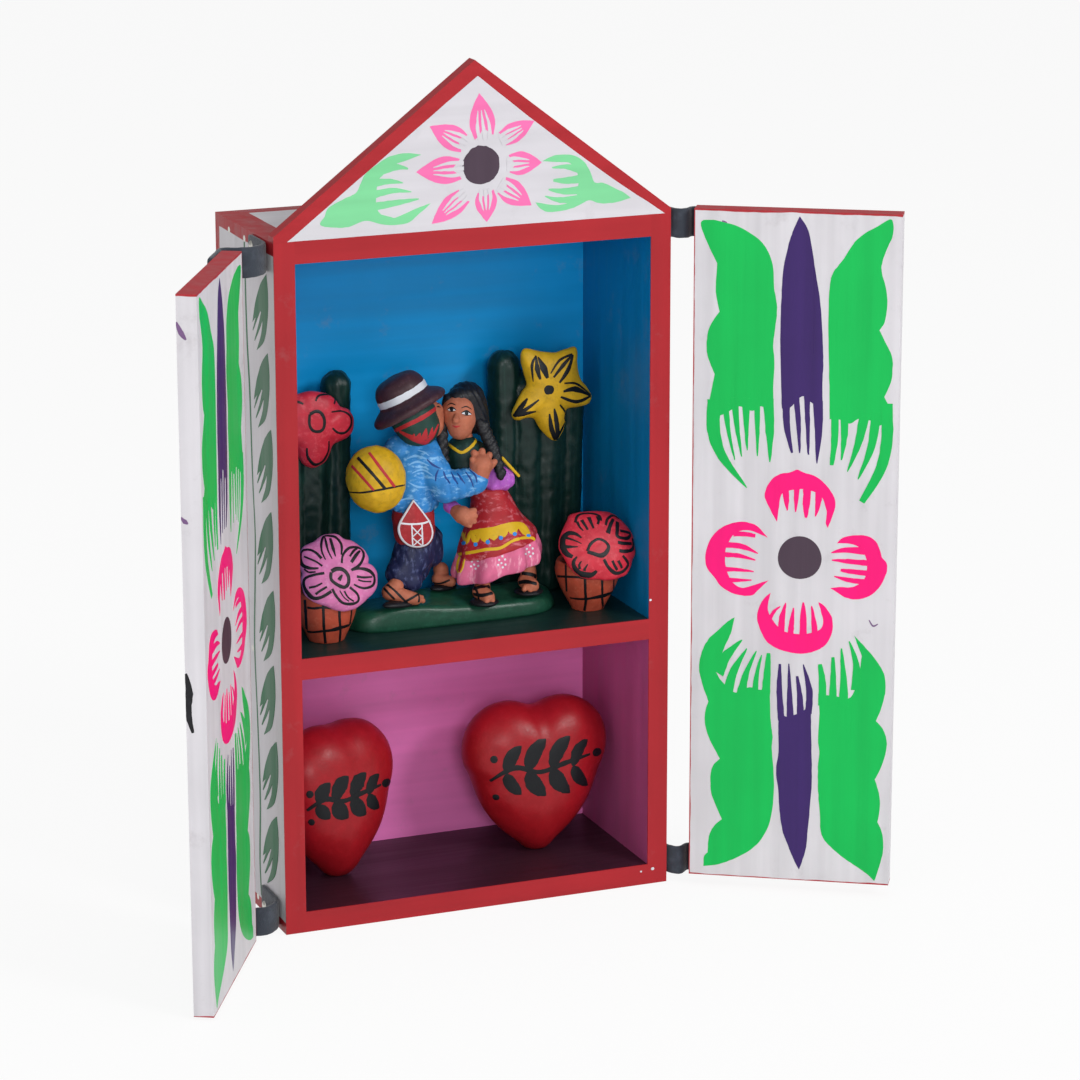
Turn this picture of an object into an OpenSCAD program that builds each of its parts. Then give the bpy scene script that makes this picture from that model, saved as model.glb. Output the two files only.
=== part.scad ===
// A folk shrine box with a gable and two painted doors that open on leather straps.
// Above the shelf a clay couple dances between cacti and baskets, below it stand two clay hearts.
// Millimetres. The origin is the middle of the underside, the front faces -Y and +Z is up.

/* [Case] */
// Width of the case across its sides
case_w = 136; // [124:1:150]
// Height of the case without the gable
case_h = 230; // [216:1:260]
// Depth from the front edges to the back of the panel
case_d = 60; // [57:0.5:75]
// Thickness of the side, top, bottom and shelf boards
board_t = 7; // [5.5:0.5:8]
// Thickness of the back panel
back_t = 2.5; // [2:0.25:4]
// Height of the shelf's underside above the case's underside
shelf_z = 86.5; // [76:0.5:96]

/* [Gable] */
// Height of the gable above the case
gable_h = 54; // [40:1:70]
// Thickness of the gable board
gable_t = 5; // [4:0.5:7]
// Height of the blunt ends of the gable
gable_blunt = 2; // [1:0.25:4]

/* [Doors] */
// Thickness of a door
door_t = 6.4; // [5:0.2:8]
// How much shorter than the case a door is
door_short = 1.6; // [0.6:0.2:6]
// Gap between the two closed doors
meeting_gap = 0.4; // [0.3:0.1:2]
// Gap between a closed door and the case's front edges
front_gap = 0.4; // [0.3:0.1:1.5]
// How far a closed door's hinged edge stands in from the case's side
door_inset = 0.2; // [0:0.1:1]
// Height of the left door's lower edge above the underside
left_door_z = 0.8; // [0.5:0.1:3]
// Height of the right door's lower edge, which its maker hung higher
right_door_z = 4; // [0.5:0.1:5]
// Angle that the left door stands open
left_open = 119.3; // [100:0.1:160]
// Angle that the right door stands open
right_open = 147.7; // [120:0.1:170]
// Distance of the left hinge line outside the case's side
left_hinge_out = 6.4; // [6:0.1:7]
// Distance of the left hinge line in front of the case
left_hinge_fore = -1.6; // [-2:0.1:-1]
// Distance of the right hinge line outside the case's side
right_hinge_out = 3.5; // [3.2:0.1:4.5]
// Distance of the right hinge line in front of the case
right_hinge_fore = 2.4; // [1.8:0.1:3]

/* [Leather straps] */
// Width of a strap
strap_w = 10; // [8:0.5:12]
// Thickness of the leather
strap_t = 1.4; // [1:0.1:1.8]
// Length of a strap's glued end on the case's side
strap_on_side = 13; // [11:0.5:15]
// Length of a strap's glued end on a door
strap_on_door = 14; // [13:0.5:18]
// Distance from the front edge to where a left strap leaves the side
left_peel = 8.5; // [7:0.5:10]
// Distance from the front edge to where a right strap leaves the side
right_peel = 7; // [6:0.5:9]
// How far a strap's fold lies from its hinge line
fold_r = 1.1; // [0.6:0.1:1.4]
// Height of the left lower strap's edge above the underside
left_strap_z = 0.8; // [0.5:0.1:2]
// Height of the right lower strap's edge above the underside
right_strap_z = 2.6; // [0.5:0.1:3]
// Distance of the left upper strap's edge below the case's top
left_strap_drop = 0.3; // [0:0.1:2]
// Height of the right upper strap's edge above the case's top
right_strap_rise = 1.8; // [0:0.1:2]
// Gap between a door's face and the strap that lies on it
strap_lie = 0.3; // [0.25:0.05:0.5]

/* [Nails and tacks] */
// Radius of a frame nail's shank
nail_r = 0.6; // [0.4:0.05:0.8]
// Radius of a frame nail's head
nail_head_r = 1.1; // [1:0.05:1.5]
// Thickness of a frame nail's head
nail_head_t = 0.6; // [0.4:0.1:1]
// Length of a frame nail
nail_len = 16; // [12:1:20]
// Length of a panel nail
panel_nail_len = 10; // [7:0.5:12]
// Radius of a tack's shank
tack_r = 0.5; // [0.4:0.05:0.7]
// Radius of a tack's domed head
tack_head_r = 1.5; // [1.2:0.1:2]
// Height of a tack's domed head
tack_head_h = 0.8; // [0.6:0.1:1]
// Length of a tack in the case's side, under its head
side_tack_len = 12; // [10:0.5:13]
// Distance from the back panel to the rear frame nails
nail_inset = 12; // [8:1:15]
// Distance between the frame nails of one joint
nail_pitch = 16; // [12:1:18]
// Distance of a strap's tack from the end of its glued length
tack_inset = 3.2; // [2.5:0.1:4]
// Distance between the two tacks of one strap on a door
tack_pitch = 4.4; // [3.6:0.1:6]
// Clearance around a shank in its hole in the same body
nail_fit = 0.03; // [0.02:0.01:0.08]

/* [Ground and couple] */
// Width of the modelled ground under the couple
ground_w = 79; // [72:1:84]
// Depth of the modelled ground
ground_d = 25; // [22:0.5:27]
// Height of the modelled ground
ground_h = 5.5; // [4:0.25:7]
// Distance from the front edges to the modelled ground
ground_setback = 17; // [14:0.5:19]
// Radius of the man's head
man_head_r = 7.8; // [7:0.1:9]
// Radius of the man's body
man_body_r = 9; // [8:0.1:10]
// Radius of the hat's brim
brim_r = 13; // [11:0.25:14]
// Radius of the hat's crown
crown_r = 8.8; // [8.2:0.1:10]
// Height of the hat's crown
crown_h = 9; // [7:0.25:11]
// Radius of the bundle on the man's back
bundle_r = 11; // [9:0.25:12]
// Width of the pouch at the man's hip
pouch_w = 12.6; // [10:0.2:14]
// Height of the pouch
pouch_h = 17; // [14:0.25:19]
// Thickness of the pouch
pouch_t = 3; // [2:0.25:4]
// Radius of the woman's head with her hair
woman_head_r = 7.6; // [7:0.1:9]
// Radius of the woman's waist
woman_body_r = 8; // [7:0.1:9]
// Width of the woman's skirt at its hem
skirt_w = 31; // [27:0.5:33]
// Radius of a sleeve
sleeve_r = 4.6; // [4:0.1:5.2]
// Radius of a foot
foot_r = 3; // [2.5:0.1:3.4]
// Radius of the woman's braids
braid_r = 2; // [1.6:0.1:2.4]

/* [Cacti and baskets] */
// Height of the tallest column of a cactus
cactus_h = 86; // [76:1:92]
// Radius of the fattest lobe of a cactus
lobe_r = 7.6; // [6.6:0.1:8]
// Radius of a cactus's slender column
column_r = 4.6; // [3.6:0.1:5]
// Gap between a cactus and the back panel
cactus_gap = 2.4; // [0.5:0.1:5]
// Distance from the left side board to the middle of the left cactus
left_cactus_in = 16; // [14:0.5:17]
// Distance from the right side board to the middle of the right cactus
right_cactus_in = 20.8; // [18:0.1:22]
// Distance from a side board to the middle of its basket
basket_in = 14.5; // [12:0.5:15]
// Radius of the yellow star flower to its points
star_r = 17; // [15:0.25:18]
// Radius of the red flower on the left cactus
bloom_r = 13; // [11:0.25:14]
// Radius of a flower that sits in a basket
basket_bloom_r = 12; // [10:0.25:12.5]
// Thickness of a flower
bloom_t = 7; // [5:0.25:8]
// Radius of a basket at its rim
basket_r = 11; // [9:0.25:11.5]
// Radius of a basket at its foot
basket_foot_r = 7; // [5.5:0.25:8]
// Height of a basket
basket_h = 18; // [14:0.5:20]

/* [Hearts] */
// Width of the right heart
heart_w = 52; // [44:0.5:53]
// Height of a heart
heart_h = 54; // [46:0.5:60]
// Thickness of a heart
heart_t = 26; // [20:0.5:30]
// Width of the left heart
left_heart_w = 44; // [38:0.5:45]
// Angle that the left heart is turned
left_heart_turn = 18; // [0:1:25]
// Distance from the front edges to the middle of the hearts
heart_setback = 32; // [28:0.5:36]
// Distance from the left side board to the middle of the left heart
left_heart_in = 21.5; // [21.5:0.5:26]
// Distance from the right side board to the middle of the right heart
right_heart_in = 28.5; // [27:0.5:30]

/* [Hidden] */
$fn = 48;

half_w = case_w / 2;
inner_w = case_w - 2 * board_t;
front_y = -case_d / 2;
panel_y = case_d / 2 - back_t;
board_d = case_d - back_t;
shelf_top = shelf_z + board_t;
door_w = half_w - door_inset - meeting_gap / 2;
door_h = case_h - door_short;
floors = [0, shelf_z, case_h - board_t];

// Colours as they show on the painted object
red = "#B8323A";
cream = "#D8D5DA";
leather = "#2C3440";
steel = "#B9B9B4";
green = "#1E3A36";
clay = "#B04A35";

// Plan geometry of a hinge, in (out, fore): out of the case's side, and in front of its front edges
function turned(p, a) = [p.x * cos(a) - p.y * sin(a), p.x * sin(a) + p.y * cos(a)];
function swung(p, pin, a) = pin + turned(p - pin, -a);
function bezier(a, b, c, d, t) =
    pow(1 - t, 3) * a + 3 * t * pow(1 - t, 2) * b + 3 * t * t * (1 - t) * c + pow(t, 3) * d;

// Centre line of a strap: up the side, over the fold beside the hinge line, and along the door's outer face
function strap_path(pin, open, peel, fold) =
    let (along = turned([1, 0], 180 - open),
        outward = turned([1, 0], 90 - open),
        corner = swung([-door_inset, front_gap + door_t], pin, open),
        bend = pin + fold * turned([1, 0], -open / 2),
        heading = turned([1, 0], 90 - open / 2),
        leave = [strap_t / 2, -peel],
        land = corner + outward * (strap_lie + strap_t / 2) - along,
        up = norm(bend - leave) / 3,
        over = norm(land - bend) * 0.4)
    concat([[strap_t / 2, -peel - strap_on_side]],
        [for (i = [0 : 7]) bezier(leave, leave + [0, up], bend - heading * up, bend, i / 8)],
        [for (i = [0 : 8]) bezier(bend, bend + heading * over, land - along * over, land, i / 8)],
        [land + along * (strap_on_door + 1)]);

function side_normal(path, i) =
    let (a = path[max(i - 1, 0)], b = path[min(i + 1, len(path) - 1)], d = (b - a) / norm(b - a))
    [-d.y, d.x];
function ribbon(path, t) =
    concat([for (i = [0 : len(path) - 1]) path[i] + side_normal(path, i) * t / 2],
        [for (i = [len(path) - 1 : -1 : 0]) path[i] - side_normal(path, i) * t / 2]);

// Places a plan in (out, fore) at the left side, -1, or the right side, 1, of the case's front
module at_side(side) {
    translate([side * half_w, front_y, 0]) mirror([side < 0 ? 1 : 0, 0, 0]) mirror([0, 1, 0]) children();
}

function pin_of(side) = side < 0 ? [left_hinge_out, left_hinge_fore] : [right_hinge_out, right_hinge_fore];
function open_of(side) = side < 0 ? left_open : right_open;
function door_z_of(side) = side < 0 ? left_door_z : right_door_z;
function peel_of(side) = side < 0 ? left_peel : right_peel;
function fold_of(side) = side < 0 ? -fold_r : fold_r;
function low_strap_z(side) = side < 0 ? left_strap_z : right_strap_z;
function high_strap_z(side) =
    case_h - strap_w + (side < 0 ? -left_strap_drop : right_strap_rise);
function strap_z(side, level) = level == 0 ? low_strap_z(side) : high_strap_z(side);

// Swings what is drawn on a closed door, in (out, fore), to where the open door stands
module on_door(side) {
    pin = pin_of(side);
    at_side(side) translate([pin.x, pin.y, 0]) rotate([0, 0, -open_of(side)])
        translate([-pin.x, -pin.y, 0]) children();
}

// Nails and tacks, each grown by a clearance where it cuts its own hole

module nail(length, grow = 0) {
    cylinder(h = length + grow, r = nail_r + grow);
    cylinder(h = nail_head_t + grow, r = nail_head_r + grow);
}

module tack(length, grow = 0) {
    dome_r = (tack_head_r * tack_head_r + tack_head_h * tack_head_h) / (2 * tack_head_h);
    translate([0, 0, -tack_head_h / 2]) cylinder(h = length + tack_head_h / 2, r = tack_r + grow);
    if (grow == 0)
        intersection() {
            translate([0, 0, dome_r - tack_head_h]) sphere(r = dome_r);
            translate([0, 0, -tack_head_h / 2]) cube([3 * dome_r, 3 * dome_r, tack_head_h], center = true);
        }
}

module frame_nail_set(side, grow = 0) {
    for (z = floors, i = [0, 1])
        translate([side * half_w, panel_y - nail_inset - i * nail_pitch, z + board_t / 2])
            rotate([0, -side * 90, 0]) nail(nail_len, grow);
}

module panel_nail_set(grow = 0) {
    edge = half_w - board_t / 2;
    spots = concat([for (x = [-edge, edge], z = [case_h * 0.1, case_h / 2, case_h * 0.9]) [x, z]],
        [for (z = floors) [0, z + board_t / 2]]);
    for (p = spots) translate([p.x, case_d / 2, p.y]) rotate([90, 0, 0]) nail(panel_nail_len, grow);
}

module gable_nail_set(grow = 0) {
    for (x = [-half_w / 2, half_w / 2])
        translate([x, front_y + gable_t / 2, case_h - board_t]) nail(nail_len, grow);
}

// The tack goes through the strap and the side board into the end of the top or bottom board
function side_tack_z(level) = level == 0 ? board_t * 0.62 : case_h - board_t / 2;
module side_tack_set(side, grow = 0) {
    for (level = [0, 1])
        translate([side * (half_w + strap_t),
            front_y + peel_of(side) + strap_on_side - tack_inset, side_tack_z(level)])
            rotate([0, -side * 90, 0]) tack(side_tack_len, grow);
}

// The tacks' heads lie on the strap and their shanks end inside the door
module door_tack_set(side, grow = 0) {
    reach = 2 * strap_lie + strap_t + door_t * 0.9;
    for (level = [0, 1], i = [0, 1])
        translate([-door_inset - strap_on_door + tack_inset + i * tack_pitch,
            front_gap + door_t + 2 * strap_lie + strap_t,
            strap_z(side, level) + strap_w * (level == 0 ? 0.6 : 0.5) + (i - 0.5) * strap_w * 0.2])
            rotate([90, 0, 0]) tack(reach, grow);
}

// Case

module side_board(side) {
    color(red) difference() {
        translate([side < 0 ? -half_w : half_w - board_t, front_y, 0]) cube([board_t, board_d, case_h]);
        frame_nail_set(side, nail_fit);
        side_tack_set(side, nail_fit);
        panel_nail_set(nail_fit);
    }
}

module cross_board(z, paint) {
    color(paint) difference() {
        translate([-inner_w / 2, front_y, z]) cube([inner_w, board_d, board_t]);
        for (side = [-1, 1]) {
            frame_nail_set(side, nail_fit);
            side_tack_set(side, nail_fit);
        }
        panel_nail_set(nail_fit);
        gable_nail_set(nail_fit);
    }
}

module back_panel() {
    color("#8E8A86") difference() {
        translate([-half_w, panel_y, 0]) cube([case_w, back_t, case_h]);
        panel_nail_set(nail_fit);
    }
}

module gable() {
    outline = [[-half_w, 0], [half_w, 0], [half_w, gable_blunt], [0, gable_h], [-half_w, gable_blunt]];
    color(cream) difference() {
        translate([0, front_y + gable_t, case_h]) rotate([90, 0, 0]) linear_extrude(gable_t)
            polygon(outline);
        gable_nail_set(nail_fit);
    }
}

module frame_nails() { color(steel) for (side = [-1, 1]) frame_nail_set(side); }
module panel_nails() { color(steel) panel_nail_set(); }
module gable_nails() { color(steel) gable_nail_set(); }
module side_tacks() { color(steel) for (side = [-1, 1]) side_tack_set(side); }

// Doors and straps

module door(side) {
    color(cream) difference() {
        on_door(side) translate([-door_inset - door_w, front_gap, door_z_of(side)])
            cube([door_w, door_t, door_h]);
        on_door(side) door_tack_set(side, nail_fit);
    }
}

module door_tacks(side) { color(steel) on_door(side) door_tack_set(side); }

module strap(side, level) {
    path = strap_path(pin_of(side), open_of(side), peel_of(side), fold_of(side));
    color(leather) difference() {
        at_side(side) translate([0, 0, strap_z(side, level)]) linear_extrude(strap_w)
            polygon(ribbon(path, strap_t));
        side_tack_set(side, nail_fit);
        on_door(side) door_tack_set(side, strap_lie);
    }
}

// Modelled clay: solids lofted through rings of points, and limbs between two balls

// Rings run anticlockwise seen from the last one, with as many points each; the end rings are flat
module loft(rings) {
    n = len(rings[0]);
    m = len(rings);
    points = [for (ring = rings) each ring];
    sides = [for (j = [0 : m - 2], i = [0 : n - 1]) let (k = (i + 1) % n)
        each [[j * n + i, (j + 1) * n + k, j * n + k], [j * n + i, (j + 1) * n + i, (j + 1) * n + k]]];
    polyhedron(points, concat([[for (i = [0 : n - 1]) i]], sides,
        [[for (i = [n - 1 : -1 : 0]) (m - 1) * n + i]]), convexity = 6);
}

module limb(a, b, ra, rb) {
    hull() {
        translate(a) sphere(r = ra);
        translate(b) sphere(r = rb);
    }
}

// A puffed shape with its outline in XZ, its back flat at y = t and its crown at y = 0
function puffed(outline, t, base) =
    [for (a = [0, 25, 50, 75]) let (s = pow(cos(a), 0.6))
        [for (p = outline) [p.x * s, base - t * sin(a), p.y * s]]];

function petal_outline(r, petals, dip, sharp, n) =
    [for (i = [0 : n - 1]) let (a = 360 * i / n, lobe = pow(abs(cos(petals * (a - 90) / 2)), sharp))
        r * (1 - dip + dip * lobe) * [cos(a), sin(a)]];

module flower(r, petals, dip, sharp, paint) {
    color(paint) loft(puffed(petal_outline(r, petals, dip, sharp, 8 * petals), bloom_t, 0));
}

// Ground and couple stand on the shelf; their points are measured from the ground's middle

module on_ground() {
    translate([0, front_y + ground_setback + ground_d / 2, shelf_top + ground_h]) children();
}

// The edge of the ground wanders in and out a little, as pressed by hand
module ground() {
    function edge(i, s) = let (a = 360 * i / 48, w = 1 + 0.025 * sin(5 * a) + 0.02 * cos(3 * a))
        [ground_w / 2 * w * s * sign(cos(a)) * pow(abs(cos(a)), 0.55),
            ground_d / 2 * w * s * sign(sin(a)) * pow(abs(sin(a)), 0.7)];
    levels = [[0, 1], [ground_h * 0.55, 0.99], [ground_h * 0.85, 0.95], [ground_h, 0.88]];
    color("#1F4A36") translate([0, front_y + ground_setback + ground_d / 2, shelf_top])
        loft([for (l = levels) [for (i = [0 : 47]) let (p = edge(i, l[1])) [p.x, p.y, l[0]]]]);
}

man_at = [-13, 1, 0];
man_hip = man_at + [0, -2, 33];
man_chest = man_at + [-1, -2, 48];
man_head = man_at + [2.5, -2, 63.5];
man_elbow = [-1, -13, 37];
man_hand = [9.5, -14, 49.5];
man_feet = [[[-24, -7.5, 0], [-13.5, -10, 0]], [[-6, 7, 0], [3, 5, 0]]];
woman_waist = [12, -3, 36];
woman_head = [5, -2, 62.5];
woman_hand = [2, -12, 33];
woman_feet = [[[7, -6, 0], [4.5, -12, 0]], [[19, -2, 0], [23.5, -8, 0]]];

module foot(points) {
    limb(points[0] + [0, 0, foot_r - 0.3], points[1] + [0, 0, foot_r * 0.8 - 0.3], foot_r, foot_r * 0.8);
}

module man() {
    $fn = 16;
    color("#3B84C4") on_ground() {
        for (f = man_feet) foot(f);
        limb(man_hip, man_feet[0][0] + [6, 1.5, 9], man_body_r, man_body_r * 0.8);
        limb(man_hip, man_feet[1][0] + [1, -3, 12], man_body_r, man_body_r * 0.7);
        limb(man_feet[0][0] + [3, 0, 3], man_feet[0][0] + [6, 1, 9], 3.2, 4);
        limb(man_feet[1][0] + [1, 0, 3], man_feet[1][0] + [2, -2, 12], 3.2, 4);
        limb(man_hip, man_chest, man_body_r, man_body_r);
        limb(man_chest, man_head, man_body_r * 0.8, man_head_r * 0.8);
        limb(man_head, man_head + [1, 0, 3], man_head_r, man_head_r * 0.9);
        limb(man_chest + [2, -5, 3], man_elbow, sleeve_r * 1.2, sleeve_r * 1.1);
        limb(man_elbow, man_hand, sleeve_r, sleeve_r * 0.8);
        limb(man_hand, man_hand + [1, 1, 3.5], sleeve_r * 0.9, sleeve_r * 0.7);
    }
}

// The hat is pressed onto the head, lower at the man's back
module hat() {
    brim_t = 1.8;
    color("#4A3038") on_ground() translate(man_head + [-2.5, -0.5, 6]) rotate([4, -10, 0])
        rotate_extrude() polygon([[0, 0], [brim_r - 1, -0.8], [brim_r, 0], [brim_r - 1, 0.8],
            [crown_r + 0.6, brim_t], [crown_r, brim_t + 1.4], [crown_r - 0.6, crown_h - 2],
            [crown_r - 2, crown_h - 0.4], [crown_r - 4, crown_h], [0, crown_h]]);
}

// The striped bundle hangs on the man's back, flattened where it lies on him
module bundle() {
    $fn = 32;
    color("#D0B020") on_ground() translate(man_chest + [-11.5, -6, -3.5]) rotate([0, 20, 0])
        hull() {
            sphere(r = bundle_r * 0.9);
            translate([0, 0, bundle_r * 0.12]) sphere(r = bundle_r * 0.88);
            translate([1, 0, -bundle_r * 0.14]) sphere(r = bundle_r * 0.84);
        }
}

module pouch() {
    $fn = 32;
    low_r = pouch_w / 2;
    color("#9E2028") on_ground() translate(man_hip + [-1.5, -man_body_r + 0.6, -1])
        rotate([90, 0, 0]) linear_extrude(pouch_t)
            polygon(concat([[0, pouch_h - low_r]],
                [for (a = [160 : 20 : 380]) low_r * [cos(a), sin(a)]]));
}

module woman() {
    $fn = 16;
    function hem(i, s, rim) = let (a = 360 * i / 40)
        [(skirt_w / 2 * s + rim * cos(8 * a) * 0.6) * cos(a), (skirt_w * 0.36 * s + rim * cos(8 * a) * 0.6) * sin(a)];
    skirt = [[0.86, 1, 6, 5], [1, 1, 7, 4.6], [0.8, 0.4, 18, 2.6], [0.56, 0, 28, 0]];
    color("#9E2028") on_ground() {
        for (f = woman_feet) foot(f);
        for (f = woman_feet) limb(f[0] + [0, 0, 3], f[0] + [0, 0, 10], 3, 3);
        translate([woman_waist.x, woman_waist.y, 0])
            loft([for (l = skirt) [for (i = [0 : 39]) let (p = hem(i, l[0], l[1])) [p.x + l[3], p.y, l[2]]]]);
        limb(woman_waist + [1, 0, -10], woman_waist, woman_body_r * 1.12, woman_body_r);
        limb(woman_waist, woman_waist + [-3, 0, 12], woman_body_r, woman_body_r * 0.95);
        limb(woman_waist + [-4, 0, 14], woman_head, woman_body_r * 0.6, woman_head_r * 0.7);
        limb(woman_head, woman_head + [0.5, 1, 1], woman_head_r, woman_head_r);
        limb(woman_waist + [3, -4, 12], woman_waist + [4.5, -6, 8], sleeve_r, sleeve_r);
        limb(woman_waist + [-9, -4, 12], woman_hand, sleeve_r * 0.8, sleeve_r * 0.8);
        limb(woman_head + [5, -3, 1], woman_head + [11, -7.5, -15], braid_r, braid_r);
        limb(woman_head + [-5, -3, 1], woman_head + [-5, -7, -13], braid_r, braid_r);
    }
}

// Cacti stand on the shelf behind the couple: upright lobes, each as [x, size, height]

cactus_y = panel_y - cactus_gap - lobe_r;
left_cactus_x = -inner_w / 2 + left_cactus_in;
right_cactus_x = inner_w / 2 - right_cactus_in;
right_lobes = [[-4.2, 0.95, 0.9], [3.3, 1, 0.88], [10.3, 0.85, 0.81]];
left_lobes = [[4, 0.92, 0.86], [-3.5, 0.92, 0.82], [-10, 0.6, 0.7]];

module lobe(x, r, h) {
    translate([x, cactus_y, shelf_top]) {
        cylinder(h = h - r, r1 = r * 0.66, r2 = r);
        translate([0, 0, h - r]) sphere(r = r);
    }
}

module cactus(x, lobes, column_x, column_size) {
    color(green) {
        for (l = lobes) lobe(x + l[0], l[1] * lobe_r, l[2] * cactus_h);
        lobe(x + column_x, column_r * column_size, cactus_h);
    }
}

// A flower head on the front of a cactus, pressed in by a tenth of its thickness
module on_cactus(x, z, lean) {
    translate([x, cactus_y - lobe_r + 1.2, shelf_top + z]) rotate([0, lean, 0]) children();
}

module star_flower() {
    on_cactus(right_cactus_x, cactus_h * 0.843, 8) flower(star_r, 5, 0.42, 1.1, "#C9A227");
}

module red_flower_left() {
    on_cactus(left_cactus_x + 2, cactus_h * 0.802, 24) flower(bloom_r, 5, 0.3, 0.6, "#B3242C");
}

// Baskets of flowers at the front corners of the shelf

basket_left_at = [-inner_w / 2 + basket_in, front_y + 19];
basket_right_at = [inner_w / 2 - basket_in, front_y + 21];

module basket(at) {
    color(clay) translate([at.x, at.y, shelf_top]) rotate_extrude()
        polygon([[0, 0], [basket_foot_r, 0], [(basket_foot_r + basket_r) / 2 + 0.8, basket_h * 0.45],
            [basket_r, basket_h - 2], [basket_r, basket_h - 0.6], [basket_r - 0.8, basket_h], [0, basket_h]]);
}

module basket_flower(at, paint, petals) {
    translate([at.x, at.y - basket_r * 0.32, shelf_top + basket_h + 2]) rotate([-32, 0, 0])
        flower(basket_bloom_r, petals, 0.14, 0.9, paint);
}

// Hearts: two lobes and a blunt tip, with the tip flattened where it stands on the floor

function heart_outline(w, h) =
    let (k = h / 54, lobe = 16 * k, gap = w / 2 - lobe, tip = 5 * k,
        cz = h / 2 - lobe, tz = -h / 2 + tip,
        rise = atan2(cz - tz, gap), slant = asin((lobe - tip) / norm([gap, cz - tz])),
        lean = 90 - rise + slant, notch = acos(-gap / lobe) - 8)
    concat([for (i = [0 : 14]) let (a = notch - i * (notch + lean) / 14) [gap + lobe * cos(a), cz + lobe * sin(a)]],
        [for (i = [0 : 3]) let (a = -lean - i * (90 - lean) / 3) [tip * cos(a), tz + tip * sin(a)]],
        [for (i = [2 : -1 : 0]) let (a = -lean - i * (90 - lean) / 3) [-tip * cos(a), tz + tip * sin(a)]],
        [for (i = [14 : -1 : 0]) let (a = notch - i * (notch + lean) / 14) [-gap - lobe * cos(a), cz + lobe * sin(a)]]);

function heart_rings(w, h, t) =
    let (outline = heart_outline(w, h), foot = -h / 2 + 1)
    [for (a = [-75 : 15 : 75]) let (s = pow(cos(a), 0.75))
        [for (p = outline) [p.x * s, t / 2 * sin(a), max(foot, p.y * s + (1 - s) * 0.06 * h)]]];

module heart(w, x, turn) {
    color("#B3242C") translate([x, front_y + heart_setback, board_t + heart_h / 2 - 1]) rotate([0, 0, turn])
        loft(heart_rings(w, heart_h, heart_t));
}

side_board(-1);  // side_left
side_board(1);  // side_right
cross_board(floors[2], red);  // top_board
cross_board(floors[0], red);  // bottom_board
cross_board(floors[1], green);  // shelf
back_panel();
gable();
frame_nails();
panel_nails();
gable_nails();
door(-1);  // door_left
door(1);  // door_right
strap(-1, 1);  // strap_left_top
strap(-1, 0);  // strap_left_bottom
strap(1, 1);  // strap_right_top
strap(1, 0);  // strap_right_bottom
side_tacks();
door_tacks(-1);  // door_tacks_left
door_tacks(1);  // door_tacks_right
ground();
man();
hat();
bundle();
pouch();
woman();
cactus(left_cactus_x, left_lobes, 11.2, 0.85);  // cactus_left
cactus(right_cactus_x, right_lobes, -12.2, 1);  // cactus_right
star_flower();
red_flower_left();
basket(basket_left_at);  // basket_left
basket_flower(basket_left_at, "#E56AA8", 7);  // pink_flower
basket(basket_right_at);  // basket_right
basket_flower(basket_right_at, "#B3242C", 6);  // red_flower_right
heart(left_heart_w, -inner_w / 2 + left_heart_in, left_heart_turn);  // heart_left
heart(heart_w, inner_w / 2 - right_heart_in, 0);  // heart_right
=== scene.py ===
import math

import bmesh
import bpy
from mathutils import Matrix, Vector, noise
from mathutils.bvhtree import BVHTree
from mathutils.geometry import tessellate_polygon


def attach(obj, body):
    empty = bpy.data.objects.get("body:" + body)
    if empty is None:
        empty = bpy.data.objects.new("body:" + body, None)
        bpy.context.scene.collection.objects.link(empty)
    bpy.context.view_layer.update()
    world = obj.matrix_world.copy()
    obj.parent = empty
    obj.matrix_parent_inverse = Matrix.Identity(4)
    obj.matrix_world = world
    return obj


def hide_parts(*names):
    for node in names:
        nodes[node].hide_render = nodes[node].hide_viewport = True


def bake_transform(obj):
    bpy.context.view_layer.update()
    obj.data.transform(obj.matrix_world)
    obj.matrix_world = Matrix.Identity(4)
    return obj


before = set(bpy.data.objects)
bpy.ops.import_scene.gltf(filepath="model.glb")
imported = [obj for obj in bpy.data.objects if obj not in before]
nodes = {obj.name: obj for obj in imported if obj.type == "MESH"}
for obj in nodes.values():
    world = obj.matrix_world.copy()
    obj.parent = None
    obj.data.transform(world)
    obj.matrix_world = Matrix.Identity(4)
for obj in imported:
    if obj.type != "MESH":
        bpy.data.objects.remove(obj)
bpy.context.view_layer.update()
mm = 0.001
print("frame loaded:", len(nodes), "nodes")

# camera, lamps and floor; mm and degrees unless a line says otherwise
studio = {
    "cameraAt": (-456.0, -1212.05, 469.4),  # mm
    "yaw": 22.012, "pitch": 15.122, "roll": -0.093,  # yaw to the right, pitch down
    "lens": 134.34, "sensor": 36,
    "photoSide": 1080, "focalPixels": 4030.19,
    "floorHex": "#F4F4F4", "floorGlow": 0.9, "floorSide": 24,  # the side in m
    "worldStrength": 0.42,
    "lamps": {  # places and sizes in m
        "keySoftbox": {"at": (0.85, -1.45, 1.15), "aim": (0, 0, 0.13), "size": 0.55, "watts": 15},
        "fillSoftbox": {"at": (-1.3, -0.8, 0.7), "aim": (0, 0, 0.13), "size": 1.0, "watts": 2},
        "frontSoftbox": {"at": (-0.5, -1.9, 0.62), "aim": (0, 0, 0.1), "size": 0.5, "watts": 9.5},
        "topSoftbox": {"at": (0.1, -0.1, 1.5), "aim": (0, 0, 0.1), "size": 1.2, "watts": 3},
    },
}


def toLinear(hexColour):
    parts = [int(hexColour[i:i + 2], 16) / 255 for i in (1, 3, 5)]
    return tuple(c / 12.92 if c <= 0.04045 else ((c + 0.055) / 1.055) ** 2.4 for c in parts) + (1.0,)


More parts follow.
